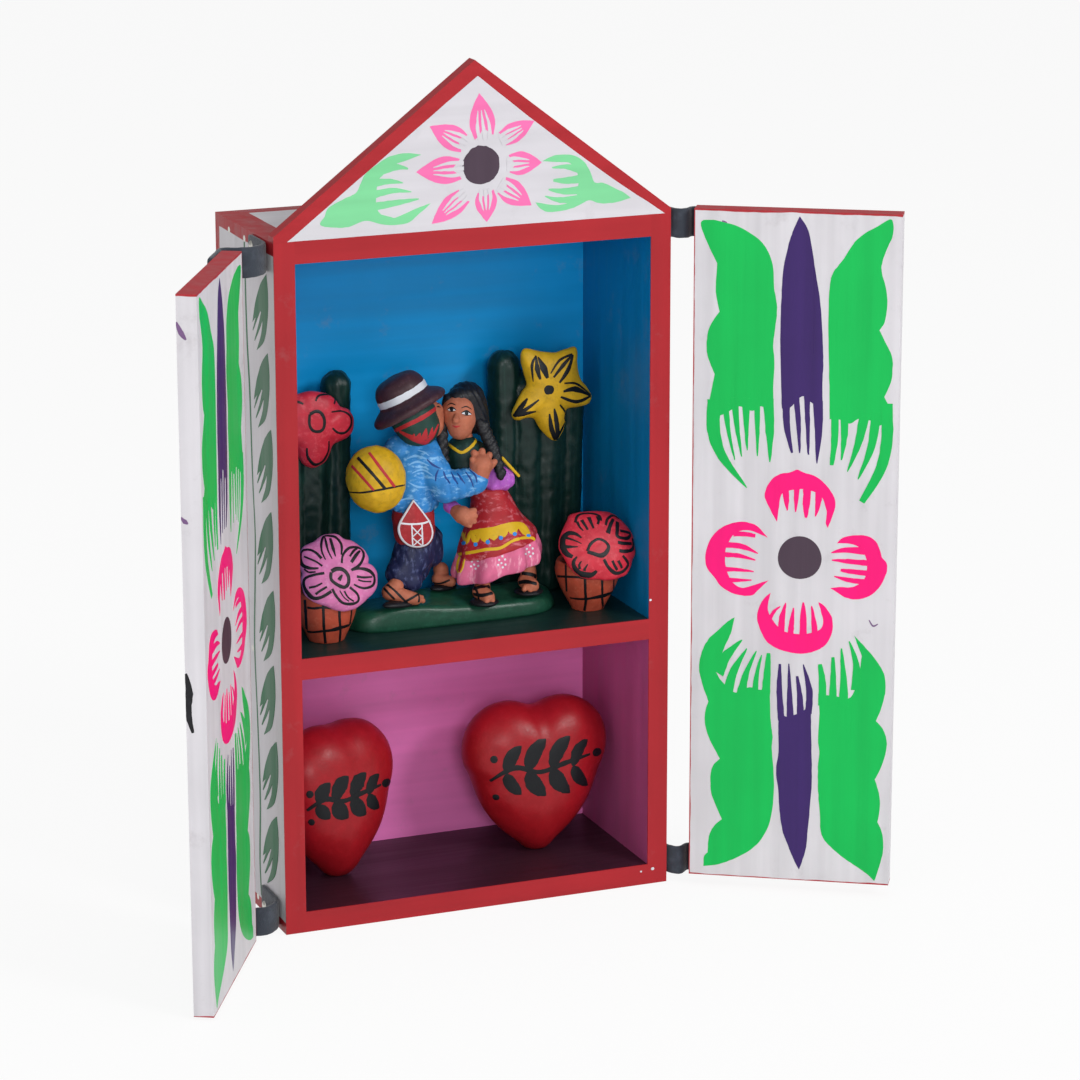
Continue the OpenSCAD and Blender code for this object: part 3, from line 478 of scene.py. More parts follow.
# outlines in mm on a door, from its hinged edge and its foot; strokes are (points, widths)
doorPattern = {
    "greenLeaves": [
        [(2.2, 223.8), (5.5, 224.8), (9.6, 224.2), (14.6, 222.8), (19.9, 219.8), (23.4, 216.4),
            (25.8, 210.6), (26.3, 203.5), (27.4, 196.5), (26.9, 190), (26.3, 184), (26.8, 178),
            (26.5, 170), (26.8, 161, 1), (22.6, 163.5), (19.7, 161.8), (15.4, 163.2), (12.2, 161.5),
            (9.7, 160, 1), (4.8, 158, 1), (5.6, 165), (7.2, 173.7, 1), (5.2, 178.4), (4.4, 183),
            (5.3, 189.2), (8.6, 194.6, 1), (7.3, 201), (7.7, 210.6, 1), (4.2, 217.5)],
        [(63.6, 226.8), (64.7, 225), (64.4, 221.2), (63, 217.7), (61.4, 213), (61.2, 209.4),
            (62.8, 203.6), (63.2, 198.3), (62.4, 193), (60.9, 190.3, 1), (62.8, 186.5), (65, 181.9),
            (65.4, 177.7), (64.9, 173), (62.9, 168.1, 1), (64.6, 164.5), (65.6, 160, 1), (61.5, 158.5, 1),
            (58.8, 160), (54.9, 160.6), (51.7, 158.8), (48.2, 160.1), (45.2, 160, 1), (44.8, 174),
            (44.4, 186), (44.2, 198), (44.6, 205.3), (45.6, 208.9), (49, 213.7), (52.4, 219.1),
            (55.8, 222.1), (60.3, 224.8)],
        [(2.9, 72.9), (4.3, 66.7), (6.2, 61.4, 1), (5.1, 57.6), (5.2, 52.8), (6.8, 48), (10.2, 41.5, 1),
            (7.9, 38.9), (7.1, 35.1), (7.5, 29.1), (9.1, 24.9), (11.1, 20.1, 1), (8.6, 17.8), (6.8, 13.8),
            (6.4, 8, 1), (5.2, 6.6), (5, 3.1, 1), (9.8, 3.9), (15, 6.1), (20.2, 9.2), (23.8, 12.7),
            (26.6, 17.8), (28, 23.3), (28.6, 31.5), (28.3, 39.5), (27.7, 46), (27.9, 50.3), (27.1, 56.7),
            (26.8, 68, 1), (23.7, 66.4), (19.9, 67.1), (15.2, 65), (10.7, 68.5), (8.5, 72, 1),
            (10.3, 77.5, 1), (11.8, 81.7), (13.4, 85.4), (14.7, 91.1, 1), (12.3, 89.5), (8.8, 86),
            (5.9, 83.1), (3.8, 78.5)],
        [(43, 66, 1), (46, 65.7), (49.5, 65.4), (53.8, 65.4), (56.4, 72, 1), (57.2, 80, 1),
            (54.6, 86.8, 1), (57.8, 83.5), (61.1, 79.8), (63.8, 76), (65.1, 72.6), (65.2, 67.3),
            (63.8, 61.4), (62.4, 57.6, 1), (64.7, 55), (66.1, 50.8), (65.7, 46), (64, 40.5),
            (62.4, 37.2, 1), (63.9, 32.4), (64.3, 27.6), (63.6, 22.2, 1), (65.2, 18.5), (65.7, 14.2),
            (65.2, 9.3), (63, 1.3, 1), (60.6, 3.5), (56.5, 6.3), (52.3, 9), (48.1, 12.5), (44.9, 16.7),
            (44.2, 24.3), (43.5, 32.3), (43.3, 40.4), (43.7, 45.8), (43.2, 50.1), (43.5, 59.2)],
    ],
    "greenStrokes": [
        (((24.9, 166), (25.6, 155), (25.7, 144.8)), (3.6, 2.8, 0.3)),
        (((21.2, 166), (21.5, 156), (21.6, 146.6)), (2.4, 1.5, 0.3)),
        (((17.6, 166), (17.8, 157), (18.2, 148.4)), (3, 1.7, 0.3)),
        (((13.8, 166), (14.8, 156), (16.4, 146.2)), (2.8, 1.6, 0.3)),
        (((10.8, 164), (11.9, 155), (14.1, 145)), (2.4, 1.4, 0.3)),
        (((7.2, 165), (7, 155), (10, 146), (18.2, 135.8)), (4.6, 4.4, 3.2, 0.3)),
        (((46.9, 163), (46.9, 153), (46.1, 144.6)), (2.4, 2.3, 1.2)),
        (((49.9, 163), (50.1, 155), (49.3, 146.4)), (2.8, 2.2, 0.4)),
        (((56.8, 163), (54.6, 152), (51.3, 142.6)), (3.6, 2.4, 0.3)),
        (((60.4, 163), (58.9, 151), (54.8, 140.2)), (3.2, 2.6, 0.3)),
        (((63.8, 166), (64, 153), (61.8, 143), (56.2, 132.6)), (3.6, 3.8, 3.4, 2)),
        (((8.5, 72), (12.5, 78.3), (17.3, 83.5)), (6, 3, 0.3)),
        (((12.6, 65), (14.8, 73), (18.9, 80.5)), (3.4, 2.6, 0.3)),
        (((17.2, 64), (18.8, 72), (22.1, 79.8)), (3.6, 1.9, 0.3)),
        (((21.6, 64), (22.4, 72), (23.9, 78.6)), (2.6, 1.4, 0.3)),
        (((25.4, 64), (25.8, 72), (26.2, 79.3)), (3, 2.4, 1.2)),
        (((44.4, 62), (44.3, 70), (43.4, 76.4)), (2.8, 2.4, 1.2)),
        (((47.8, 62), (47.9, 71), (47.7, 79)), (3.2, 2, 1)),
        (((51.5, 62), (51.3, 72), (50.4, 82.2)), (3.4, 2.1, 0.4)),
        (((55.5, 68), (55.4, 77), (53, 84.8)), (3.2, 2.2, 0.3)),
    ],
    "purpleLeaves": [
        [(34.4, 226.8, 1), (36.8, 223.2), (38.2, 218), (39.4, 211), (41.5, 198.2), (42.5, 185.8),
            (42.8, 178), (42.6, 170.9), (42.9, 163, 1), (38.9, 165.5), (35.9, 167.3), (32.2, 163.4),
            (29.4, 163, 1), (28.9, 176.3), (28.6, 186), (28.8, 200), (29.4, 210), (31, 217.8),
            (32.4, 222.5)],
        [(37.5, 3.8, 1), (38.6, 7.1), (39.8, 12), (40.2, 18), (40.9, 26.8), (41.3, 34.9), (41.1, 45.7),
            (40.7, 56.4), (40.7, 62, 1), (38.9, 60.5), (35.6, 58.5), (32.2, 57.5), (29.9, 60, 1),
            (29.8, 53), (30, 45), (29.2, 38.5), (30.1, 31.5), (30.6, 24.5), (31.7, 17.5), (33.6, 12.2),
            (36, 6.4)],
    ],
    "purpleStrokes": [
        (((41.2, 166), (41.6, 156), (41.2, 145)), (3.4, 2.6, 0.3)),
        (((37.6, 168), (38, 158), (38.4, 147.8)), (2, 1.5, 0.5)),
        (((34, 168), (35, 158), (35.5, 148.3)), (2, 1.6, 0.4)),
        (((30.8, 166), (31.2, 157), (33, 148.2)), (2.6, 2.1, 0.7)),
        (((39.8, 59), (40, 67), (37.8, 76)), (2.2, 2.2, 0.3)),
        (((37.2, 57), (36.8, 65), (35.8, 71.8)), (2.6, 1.8, 0.8)),
        (((33.8, 56), (33.4, 66), (33, 76)), (2.6, 1.7, 0.3)),
        (((30.8, 56), (30, 66), (30, 75.8)), (2.2, 2, 0.8)),
    ],
    "petals": [  # top, hinge side, free side, bottom
        [(28.4, 124.6, 1), (27, 127), (25.1, 130.6), (24.2, 133.5), (25, 136.7), (26.8, 139.3),
            (29.4, 140.9), (32.6, 141.6), (34.9, 142.6), (37.3, 141.6), (41, 140.5), (44.2, 138),
            (46.9, 134.3), (47.6, 131), (46.7, 127.5), (45.2, 123.2, 1), (44.5, 125), (44.8, 128),
            (44.2, 130.8), (42.6, 134.2), (38.5, 135.9), (34.6, 135.9), (31, 134.9), (29.6, 133.6),
            (28.9, 129.5)],
        [(25.4, 119, 1), (21.7, 122.9), (17.5, 124.1), (13.3, 123.4), (9, 121), (6.1, 117.2),
            (4.7, 112.2), (5.2, 107.8), (7.6, 104.8), (10.3, 101.4), (14.6, 99.2), (19.9, 98.9),
            (22.7, 101.2), (25.8, 104.5, 1), (19.9, 102.2), (16.7, 101.5), (13.6, 103.4), (11.8, 107.5),
            (11.2, 112), (12, 116.2), (14.8, 120.3), (19.5, 121.2)],
        [(48.4, 118.2, 1), (50.3, 120.2), (54.5, 121.2), (58.7, 121), (61.6, 118.7), (63.2, 114.2),
            (64.9, 112), (64.7, 108.5), (62.7, 104), (59.6, 100.9), (55.4, 99.3), (51.7, 99.7),
            (49, 101.2), (46.4, 102.8, 1), (49.8, 103.3), (52.7, 103.3), (55.5, 104.3), (57.6, 106.6),
            (58.4, 110), (57.8, 114.2), (55.4, 117.3), (52, 118.3)],
        [(26.6, 100.2, 1), (24.2, 97.8), (22.6, 94.4), (22.2, 91.1), (23.3, 87.3), (25.4, 83.5),
            (28.7, 81.2), (32.9, 80), (37.2, 79.7), (41.4, 80.7), (45.1, 83.1), (47.2, 87.4),
            (47.4, 91.2), (46.5, 93.9), (44.4, 96.6), (42.5, 97.8, 1), (44.2, 91.2), (43, 88.2), (40, 87),
            (35.5, 86.4), (31, 87.3), (27.4, 90.8), (25.7, 95)],
    ],
    "petalStrokes": [  # as many rows as petals
        [(((31, 136), (31.4, 132), (31.7, 128.6)), (2.4, 1.8, 0.3)),
            (((34.8, 137), (34.6, 132), (34.5, 128.2)), (2.2, 1.4, 0.3)),
            (((38.2, 137), (38, 131), (37.9, 126.4)), (2.6, 2.4, 0.8)),
            (((42.2, 136), (41.8, 131), (41.1, 127)), (2.6, 1.8, 0.3))],
        [(((14, 119.9), (18, 119.9), (21.2, 119.5)), (1.8, 1.5, 1.3)),
            (((11, 116), (17, 115.6), (22.2, 113.5)), (2, 1.8, 0.3)),
            (((11, 112.6), (16, 112.4), (21.4, 111.2)), (1.7, 1.5, 0.3)),
            (((11, 107.6), (16, 107.6), (20.9, 107.2)), (1.7, 1.2, 0.3)),
            (((12.5, 103.9), (16, 104), (20.2, 104.3)), (1.7, 1.2, 0.3))],
        [(((57.5, 116), (51, 116), (46.5, 114.9)), (2.8, 1.8, 0.3)),
            (((59, 111.9), (52, 112.2), (46.7, 112.4)), (2, 1.6, 0.3)),
            (((59, 108.4), (53, 108.8), (49.7, 109.1)), (2, 1.6, 0.9)),
            (((58, 105.4), (52, 105.9), (47.6, 106.9)), (2, 1.5, 0.3))],
        [(((26.2, 91), (28, 94), (29.9, 95.7)), (1.6, 1, 0.3)),
            (((30.2, 86.5), (30.6, 92), (31.7, 97)), (2.4, 2, 0.3)),
            (((33.4, 86), (33.8, 91), (34.3, 95.4)), (2.2, 1.6, 0.3)),
            (((37.6, 85.5), (37.6, 92), (37.5, 97.5)), (2.4, 2.2, 0.5)),
            (((41.6, 86.5), (41.1, 91), (40.3, 96.3)), (2.2, 1.7, 0.3))],
    ],
    "disc": (36.1, 112.6, 7.3),
    "outerFlower": {"x": 66.6, "y": 114.2, "edge": 66.9, "eye": 9, "size": 1.02},
}


def roundShape(x, y, r, count=40, wobble=0.04):
    return [(x + r * (1 + wobble * noise.noise(Vector((math.cos(a), math.sin(a), x)))) * math.cos(a),
             y + r * (1 + wobble * noise.noise(Vector((math.cos(a), math.sin(a), y)))) * math.sin(a))
            for a in (2 * math.pi * i / count for i in range(count))]


def marks(outlines, strokes, change=lambda x, y: (x, y)):
    shapes = [smoothLine(o, True) for o in outlines] + [strokeShape(p, w) for p, w in strokes]
    return [shaky([change(x, y) for x, y in shape]) for shape in shapes]


flower = doorPattern["outerFlower"]


def outerLeaves(x, y):  # on the outer face the leaves are shorter, to leave room for the large flower
    top = doorFacts["height"]
    return (x, top - (top - y) * 0.8) if y > top / 2 else (x, y * 0.8)


def outerPetal(angle):
    middleX, middleY, _ = doorPattern["disc"]

    def change(x, y):
        dx, dy = rotated(x - middleX, y - middleY, angle)
        return min(flower["edge"], flower["x"] + dx * flower["size"]), flower["y"] + dy * flower["size"]
    return change


def onDoor(side, outerFace):
    return lambda x, y, lift: doorSpot(side, x, y, lift, outerFace)


for side in (-1, 1):
    body = door[side]["body"]
    tag = "Left" if side < 0 else "Right"
    inner, outer = onDoor(side, False), onDoor(side, True)
    petalStrokes = [one for row in doorPattern["petalStrokes"] for one in row]
    paintMarks("greenLeaves" + tag, marks(doorPattern["greenLeaves"], doorPattern["greenStrokes"]), inner,
        greenPaint, body)
    paintMarks("purpleLeaves" + tag, marks(doorPattern["purpleLeaves"], doorPattern["purpleStrokes"]),
        inner, purplePaint, body)
    paintMarks("pinkPetals" + tag, marks(doorPattern["petals"], petalStrokes), inner, pinkPaint, body)
    paintMarks("flowerEye" + tag, [roundShape(*doorPattern["disc"])], inner, discPaint, body)
    paintMarks("outerGreenLeaves" + tag,
        marks(doorPattern["greenLeaves"], doorPattern["greenStrokes"], outerLeaves), outer, greenPaint,
        body)
    paintMarks("outerPurpleLeaves" + tag,
        marks(doorPattern["purpleLeaves"], doorPattern["purpleStrokes"], outerLeaves), outer, purplePaint,
        body)
    hingePetal = doorPattern["petals"][1]
    hingeStrokes = doorPattern["petalStrokes"][1]
    paintMarks("outerPetals" + tag,
        [one for a in (-56, 0, 56) for one in marks([hingePetal], hingeStrokes, outerPetal(a))], outer,
        pinkPaint, body)
    halfDisc = [(flower["edge"], flower["y"] - flower["eye"])]
    for a in (math.pi * i / 20 for i in range(1, 20)):
        halfDisc.append((67 - flower["eye"] * math.sin(a), flower["y"] - flower["eye"] * math.cos(a)))
    halfDisc.append((flower["edge"], flower["y"] + flower["eye"]))
    paintMarks("outerEye" + tag, [halfDisc], outer, discPaint, body)

gablePattern = {
    "whiteField": [(-63.4, 0.25, 1), (-20, 0.35), (30, 0.3), (65.8, 0.35, 1), (61.5, 3.3), (45, 14.6),
        (22, 32), (0.9, 48.9, 1), (-20, 33.2), (-45, 14.2)],
    "petals": [((1.3, 43.4), (3.1, 29), 8.4), ((20.2, 33.4), (9, 28), 6.4),
        ((22.7, 19.9), (11.2, 20), 7.4), ((19.1, 6.2), (8.6, 13.4), 7.6), ((3.7, 1.9), (3.2, 12), 7.2),
        ((-15.1, 2.6), (-3.8, 11.2), 7), ((-20.2, 19.5), (-4.8, 19.7), 8.6),
        ((-15.4, 33.8), (-3.5, 27.6), 7.6)],
    "disc": (1.8, 20.3, 6.3), "thick": 5,
    "leaves": [
        [(-52.3, 4.9), (-51, 7.5), (-49.4, 10.3), (-44, 12.8), (-40.4, 14.3), (-38.6, 17.5),
            (-37.1, 20.2), (-33, 23), (-29, 25.1), (-23.5, 25.8), (-18.4, 25, 1), (-23, 23.6),
            (-28.2, 21.9), (-32.8, 18, 1), (-33.6, 14), (-33.5, 9), (-32, 6.8, 1), (-29, 5.8),
            (-26.7, 5.6), (-20, 8), (-15.3, 9.2, 1), (-19.5, 6), (-23.5, 3.4), (-30.8, 3.4), (-37.3, 5.2),
            (-43, 3.6), (-48, 3.8)],
        [(53.7, 6.2, 1), (51, 8.3), (48.2, 9.7), (44, 11.8), (41, 12.2), (39.3, 16), (37.2, 19.2),
            (34, 21.2), (31.3, 21.8), (27, 21.8), (22.9, 20.2, 1), (28, 19.6), (32.1, 19.1),
            (34.8, 16.5, 1), (35.4, 13), (35, 9), (34.4, 7.8, 1), (31.5, 6), (27, 5.7), (20.5, 7.1, 1),
            (22, 5), (24.5, 3.7), (29, 3.6), (33.8, 4.4), (38.9, 6.4), (42, 5.4), (44.8, 5), (49, 5.2)],
    ],
    "leafStrokes": [
        (((-33, 20.5), (-27, 21.6), (-22.9, 20.8)), (3, 2, 0.5)),
        (((-34, 17), (-29, 17.2), (-24.6, 16.4)), (2.6, 1.6, 0.3)),
        (((-34, 13.4), (-28, 14.2), (-21.8, 13.4)), (2.4, 1.8, 0.3)),
        (((-34, 9.5), (-27, 10.2), (-19.3, 10.9)), (2.8, 2, 0.3)),
        (((36, 16.6), (31, 17.9), (26.2, 17.9)), (2.6, 1.6, 0.3)),
        (((36, 13.6), (31, 13.4), (26.6, 13.8)), (2.8, 2.2, 0.8)),
        (((36, 10), (30, 10), (25, 10.9)), (2.8, 2, 0.4)),
        (((35.5, 7.2), (29, 7.2), (23.7, 8.8)), (2.6, 1.8, 0.3)),
    ],
}


def gablePetal(tip, base, width):
    ax, ay = tip[0] - base[0], tip[1] - base[1]
    length = math.hypot(ax, ay)
    ax, ay = ax / length, ay / length

    def at(t, w):
        return base[0] + ax * length * t - ay * w * width, base[1] + ay * length * t + ax * w * width

    outline = [at(0.06, 0.22) + (1,), at(0.0, 0.4) + (1,), at(0.3, 0.53), at(0.55, 0.46), at(0.78, 0.26),
        at(1, 0) + (1,), at(0.8, -0.22), at(0.55, -0.44), at(0.3, -0.5), at(0.03, -0.36) + (1,),
        at(0.1, -0.2) + (1,), at(0.2, 0)]
    streaks = [
        ((at(-0.05, w * 0.8), at(0.25, w), at(0.62, w * 0.55)), (1.35, 1.1, 0.2))
        for w in (0.24, 0.0, -0.24)]
    return outline, streaks


def gableFront(x, y, lift):
    return Vector((x, frontY - lift, high + y)) * mm


def gableRear(x, y, lift):
    return Vector((x, frontY + gablePattern["thick"] + lift, high + y)) * mm


petalShapes = [gablePetal(*p) for p in gablePattern["petals"]]
paintMarks("gableWhiteField", marks([gablePattern["whiteField"]], []), gableFront, whitePaint, "case", 0.05)
paintMarks("gableBackField", marks([gablePattern["whiteField"]], []), gableRear, whitePaint, "case", 0.05)
paintMarks("gablePetals", marks([o for o, s in petalShapes], []), gableFront, gablePinkPaint, "case", 0.1)
paintMarks("gablePetalStreaks", marks([], [one for o, s in petalShapes for one in s]), gableFront,
    whitePaint, "case", 0.15)
paintMarks("gableEye", [shaky(roundShape(*gablePattern["disc"]), 0.4)], gableFront, discPaint, "case", 0.14)
paintMarks("gableLeaves", marks(gablePattern["leaves"], gablePattern["leafStrokes"]), gableFront,
    gableGreenPaint, "case", 0.1)

vine = {
    "stem": [(-0.5, 225.5), (-1.2, 196), (-3, 177), (-4.1, 149), (-5.6, 130), (-4.6, 115), (-2.6, 92),
        (-4.2, 66), (-5.2, 40), (-3.6, 18), (-4.4, 5)],
    "leaf": [(0, 0, 1), (-1.2, -6), (-0.6, -13.5), (3.4, -22), (11.4, -26.8, 1), (6.5, -20.5), (4.8, -15),
        (7, -13, 1), (15.2, -18.3, 1), (12, -11.5), (7, -5), (3, -1.8)],
    "teeth": [(((3, -11), (8, -18), (13.4, -24)), (3, 1.7, 0.3)),
        (((4, -8), (9.5, -14.5), (15, -21)), (3, 1.6, 0.3))],
    "tips": [(-22.6, 219), (-22.4, 193.5), (-24.2, 169), (-22.8, 141.5), (-23.4, 115.5), (-22.2, 90),
        (-23.6, 64.5), (-22.4, 38.5)],
}


def onSide(side):
    return lambda y, z, lift: Vector((side * (halfW + lift), y, z)) * mm


for side, tag in ((-1, "Left"), (1, "Right")):
    shapes = [strokeShape(vine["stem"], [1.1, 1.5, 1, 1.4, 1.1, 1.5, 1])]
    for k, (ty, tz) in enumerate(vine["tips"]):
        shapes += marks([vine["leaf"]], vine["teeth"], lambda x, y: (ty + x, tz + y))
        if k < len(vine["tips"]) - 1:
            shapes += marks([vine["leaf"]], vine["teeth"],
                lambda x, y: (18.6 - x - 0.6 * (k % 2), tz + y - 9))
    paintMarks("sideVine" + tag, shapes, onSide(side), vinePaint, "case", 0.06)
print("patterns painted")

# leather straps
strap = {
    "halfWidth": 4.85, "middle": 5, "thick": 1.4, "onSide": 13, "onDoor": 14, "lie": 0.3,  # mm
    "leather": "#2B323E", "rubbed": "#4A5361", "grainMm": 0.7, "steel": "#C9C7C0",
}


def bezier(a, b, c, d, t):
    return (1 - t) ** 3 * a + 3 * t * (1 - t) ** 2 * b + 3 * t * t * (1 - t) * c + t ** 3 * d


# Dyed suede-like strap leather: dark, nearly matt, with a fine pebble and paler rubbed places
def dyedLeather(name, hexColour):
    material, tree = newMaterial(name)
    where = addNode(tree, "ShaderNodeTexCoord").outputs["Object"]
    pebble = addNode(tree, "ShaderNodeTexVoronoi", {"feature": "SMOOTH_F1"},
        {"Vector": where, "Scale": 1000 / strap["grainMm"]})
    nap = addNode(tree, "ShaderNodeTexNoise", inputs={"Vector": where, "Scale": 1000 / 0.5, "Detail": 4.0})
    worn = addNode(tree, "ShaderNodeTexNoise", inputs={"Vector": where, "Scale": 1000 / 3.5, "Detail": 4.0})
    rub = addNode(tree, "ShaderNodeMapRange",
        inputs={"Value": worn.outputs["Fac"], "From Min": 0.5, "From Max": 0.75, "To Max": 0.55})
    colour = mixColour(tree, rub.outputs[0], toLinear(hexColour), toLinear(strap["rubbed"]))
    height = mathNode(tree, "ADD", pebble.outputs["Distance"], nap.outputs["Fac"])
    bump = addNode(tree, "ShaderNodeBump", inputs={"Strength": 0.5, "Distance": 0.0002, "Height": height})
    surface = addNode(tree, "ShaderNodeBsdfPrincipled", inputs={
        "Base Color": colour, "Roughness": 0.78, "Normal": bump.outputs["Normal"], "Sheen Weight": 0.25,
        "Sheen Roughness": 0.5})
    addNode(tree, "ShaderNodeOutputMaterial", inputs={"Surface": surface.outputs[0]})
    return material


# Nickelled steel tack: bright and a little brushed
def brightSteel(name):
    material, tree = newMaterial(name)
    where = addNode(tree, "ShaderNodeTexCoord").outputs["Object"]
    scratch = addNode(tree, "ShaderNodeTexNoise",
        inputs={"Vector": where, "Scale": 1000 / 0.4, "Detail": 3.0})
    rough = addNode(tree, "ShaderNodeMapRange",
        inputs={"Value": scratch.outputs["Fac"], "To Min": 0.22, "To Max": 0.42})
    surface = addNode(tree, "ShaderNodeBsdfPrincipled",
        inputs={"Base Color": toLinear(strap["steel"]), "Metallic": 1.0, "Roughness": rough.outputs[0]})
    addNode(tree, "ShaderNodeOutputMaterial", inputs={"Surface": surface.outputs[0]})
    return material


def strapPath(side):
    facts = door[side]
    openBy = facts["open"]
    pin = Vector(facts["pin"])
    along = Vector(rotated(1, 0, 180 - openBy))
    outward = Vector(rotated(1, 0, 90 - openBy))
    corner = pin + Vector(
        rotated(-doorFacts["inset"] - pin.x, doorFacts["gap"] + doorFacts["thick"] - pin.y, -openBy))
    bend = pin + facts["fold"] * Vector(rotated(1, 0, -openBy / 2))
    heading = Vector(rotated(1, 0, 90 - openBy / 2))
    leave = Vector((strap["thick"] / 2, -facts["peel"]))
    land = corner + outward * (strap["lie"] + strap["thick"] / 2) - along
    rise = (bend - leave).length / 3
    over = (land - bend).length * 0.4
    start = Vector((strap["thick"] / 2, -facts["peel"] - strap["onSide"]))
    path = [start + (leave - start) * i / 8 for i in range(8)]
    path += [
        bezier(leave, leave + Vector((0, rise)), bend - heading * rise, bend, i / 14) for i in range(14)]
    path += [bezier(bend, bend + heading * over, land - along * over, land, i / 14) for i in range(14)]
    path += [land + along * (strap["onDoor"] + 1) * i / 8 for i in range(9)]
    return path, bend, heading


leatherFinish = dyedLeather("dyedStrapLeather", strap["leather"])
steelFinish = brightSteel("brightSteelWire")
for side, tag, nodeTag in ((-1, "Left", "left"), (1, "Right", "right")):
    path, bend, heading = strapPath(side)
    for low, level in ((door[side]["strapLow"], "bottom"), (door[side]["strapHigh"], "top")):
        verts, ring = [], 20
        for i, p in enumerate(path):
            a, b = path[max(i - 1, 0)], path[min(i + 1, len(path) - 1)]
            d = (b - a).normalized()
            n = Vector((-d.y, d.x))
            shrink = 0.94 if i in (0, len(path) - 1) else 1.0
            for k in range(ring):
                angle = 2 * math.pi * (k + 0.5) / ring
                cx = math.copysign(abs(math.cos(angle)) ** 0.35, math.cos(angle))
                cz = math.copysign(abs(math.sin(angle)) ** 0.35, math.sin(angle))
                ragged = 0.16 * noise.noise(Vector((p.x * 0.5, p.y * 0.5, low + (5 if cz > 0 else 0))))
                q = p + n * (cx * strap["thick"] / 2 * shrink)
                verts.append(planToModel(side, q.x, q.y,
                    low + strap["middle"] + cz * (strap["halfWidth"] * shrink + ragged)))
        piece = newPiece("leatherStrap" + tag + level.capitalize(), verts, ringFaces(len(path), ring),
            leatherFinish, None)
        outwardFaces(piece.data)
        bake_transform(piece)
        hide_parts(f"strap_{nodeTag}_{level}")
for node in ("frame_nails", "panel_nails", "gable_nails", "side_tacks", "door_tacks_left",
        "door_tacks_right"):
    dress(node, steelFinish, 0)
print("straps and tacks placed")


# modelled clay
# places below are given in enlarged views of the picture: left, top and scale; whole is the picture itself
closeUp = {"left": 280, "top": 340, "scale": 4.3556}
starView = {"left": 470, "top": 330, "scale": 8.2526}
bloomView = {"left": 285, "top": 400, "scale": 9.8}
pinkView = {"left": 285, "top": 530, "scale": 12.0615}
basketView = {"left": 520, "top": 520, "scale": 11.2}
whole = {"left": 0, "top": 0, "scale": 1}
seed = bmesh.new()
bmesh.ops.create_icosphere(seed, subdivisions=3, radius=1)
ballVerts = [v.co.copy() for v in seed.verts]
ballFaces = [tuple(v.index for v in f.verts) for f in seed.faces]
seed.free()


# where the ray through a place in the enlarged view meets the upright plane at this depth, mm
def at(x, y, depth, view=closeUp):
    ray = pixelRay(view["left"] + x / view["scale"], view["top"] + y / view["scale"])
    return (cameraAt + ray * ((depth * mm - cameraAt.y) / ray.y)) / mm


def limb(a, b, ra, rb):
    axis = (b - a).normalized() if (b - a).length > 1e-6 else Vector((0, 0, 1))
    return [(b + v * rb) if v.dot(axis) > 0 else (a + v * ra) for v in ballVerts]


def ball(centre, radii, turns=(0, 0, 0)):
    spin = (Matrix.Rotation(math.radians(turns[2]), 3, "Z")
        @ Matrix.Rotation(math.radians(turns[1]), 3, "Y")
        @ Matrix.Rotation(math.radians(turns[0]), 3, "X"))
    return [centre + spin @ Vector((v.x * radii[0], v.y * radii[1], v.z * radii[2])) for v in ballVerts]


workshop = bpy.data.scenes.new("workshop")  # a mesh is worked here by itself, which is quicker


def worked(mesh, kind, **settings):
    thing = bpy.data.objects.new("lump", mesh)
    workshop.collection.objects.link(thing)
    modifier = thing.modifiers.new("work", kind)
    for setting, value in settings.items():
        setattr(modifier, setting, value)
    layer = workshop.view_layers[0]
    layer.update()
    done = bpy.data.meshes.new_from_object(thing.evaluated_get(layer.depsgraph))
    bpy.data.objects.remove(thing)
    return done


def pressed(mesh, push):  # each point moves along its normal by push(place), mm
    spots = [(v.co.copy(), v.normal.copy()) for v in mesh.vertices]
    mesh.vertices.foreach_set("co",
        [c for spot, normal in spots for c in spot + normal * (push(spot / mm) * mm)])
    mesh.update()


def clayForm(name, lumps, material, body="case", voxel=0.45, smooth=3, lumpy=0.12, shape=None):
    verts, faces = [], []
    for lump in lumps:
        faces += [tuple(len(verts) + i for i in f) for f in ballFaces]
        verts += [v * mm for v in lump]
    piece = newPiece(name, verts, faces, material, body)
    joined = worked(piece.data, "REMESH", mode="VOXEL", voxel_size=voxel * mm)
    joined = worked(joined, "SMOOTH", factor=0.5, iterations=smooth)
    piece.data = joined
    pressed(joined, lambda p: lumpy * noise.noise(p * 0.35) + (shape(p) if shape else 0))
    joined.polygons.foreach_set("use_smooth", [True] * len(joined.polygons))
    return piece


def treeOf(*pieces):
    verts, faces = [], []
    for piece in pieces:
        base = len(verts)
        verts += [v.co.copy() for v in piece.data.vertices]
        faces += [tuple(base + i for i in poly.vertices) for poly in piece.data.polygons]
    return BVHTree.FromPolygons(verts, faces)


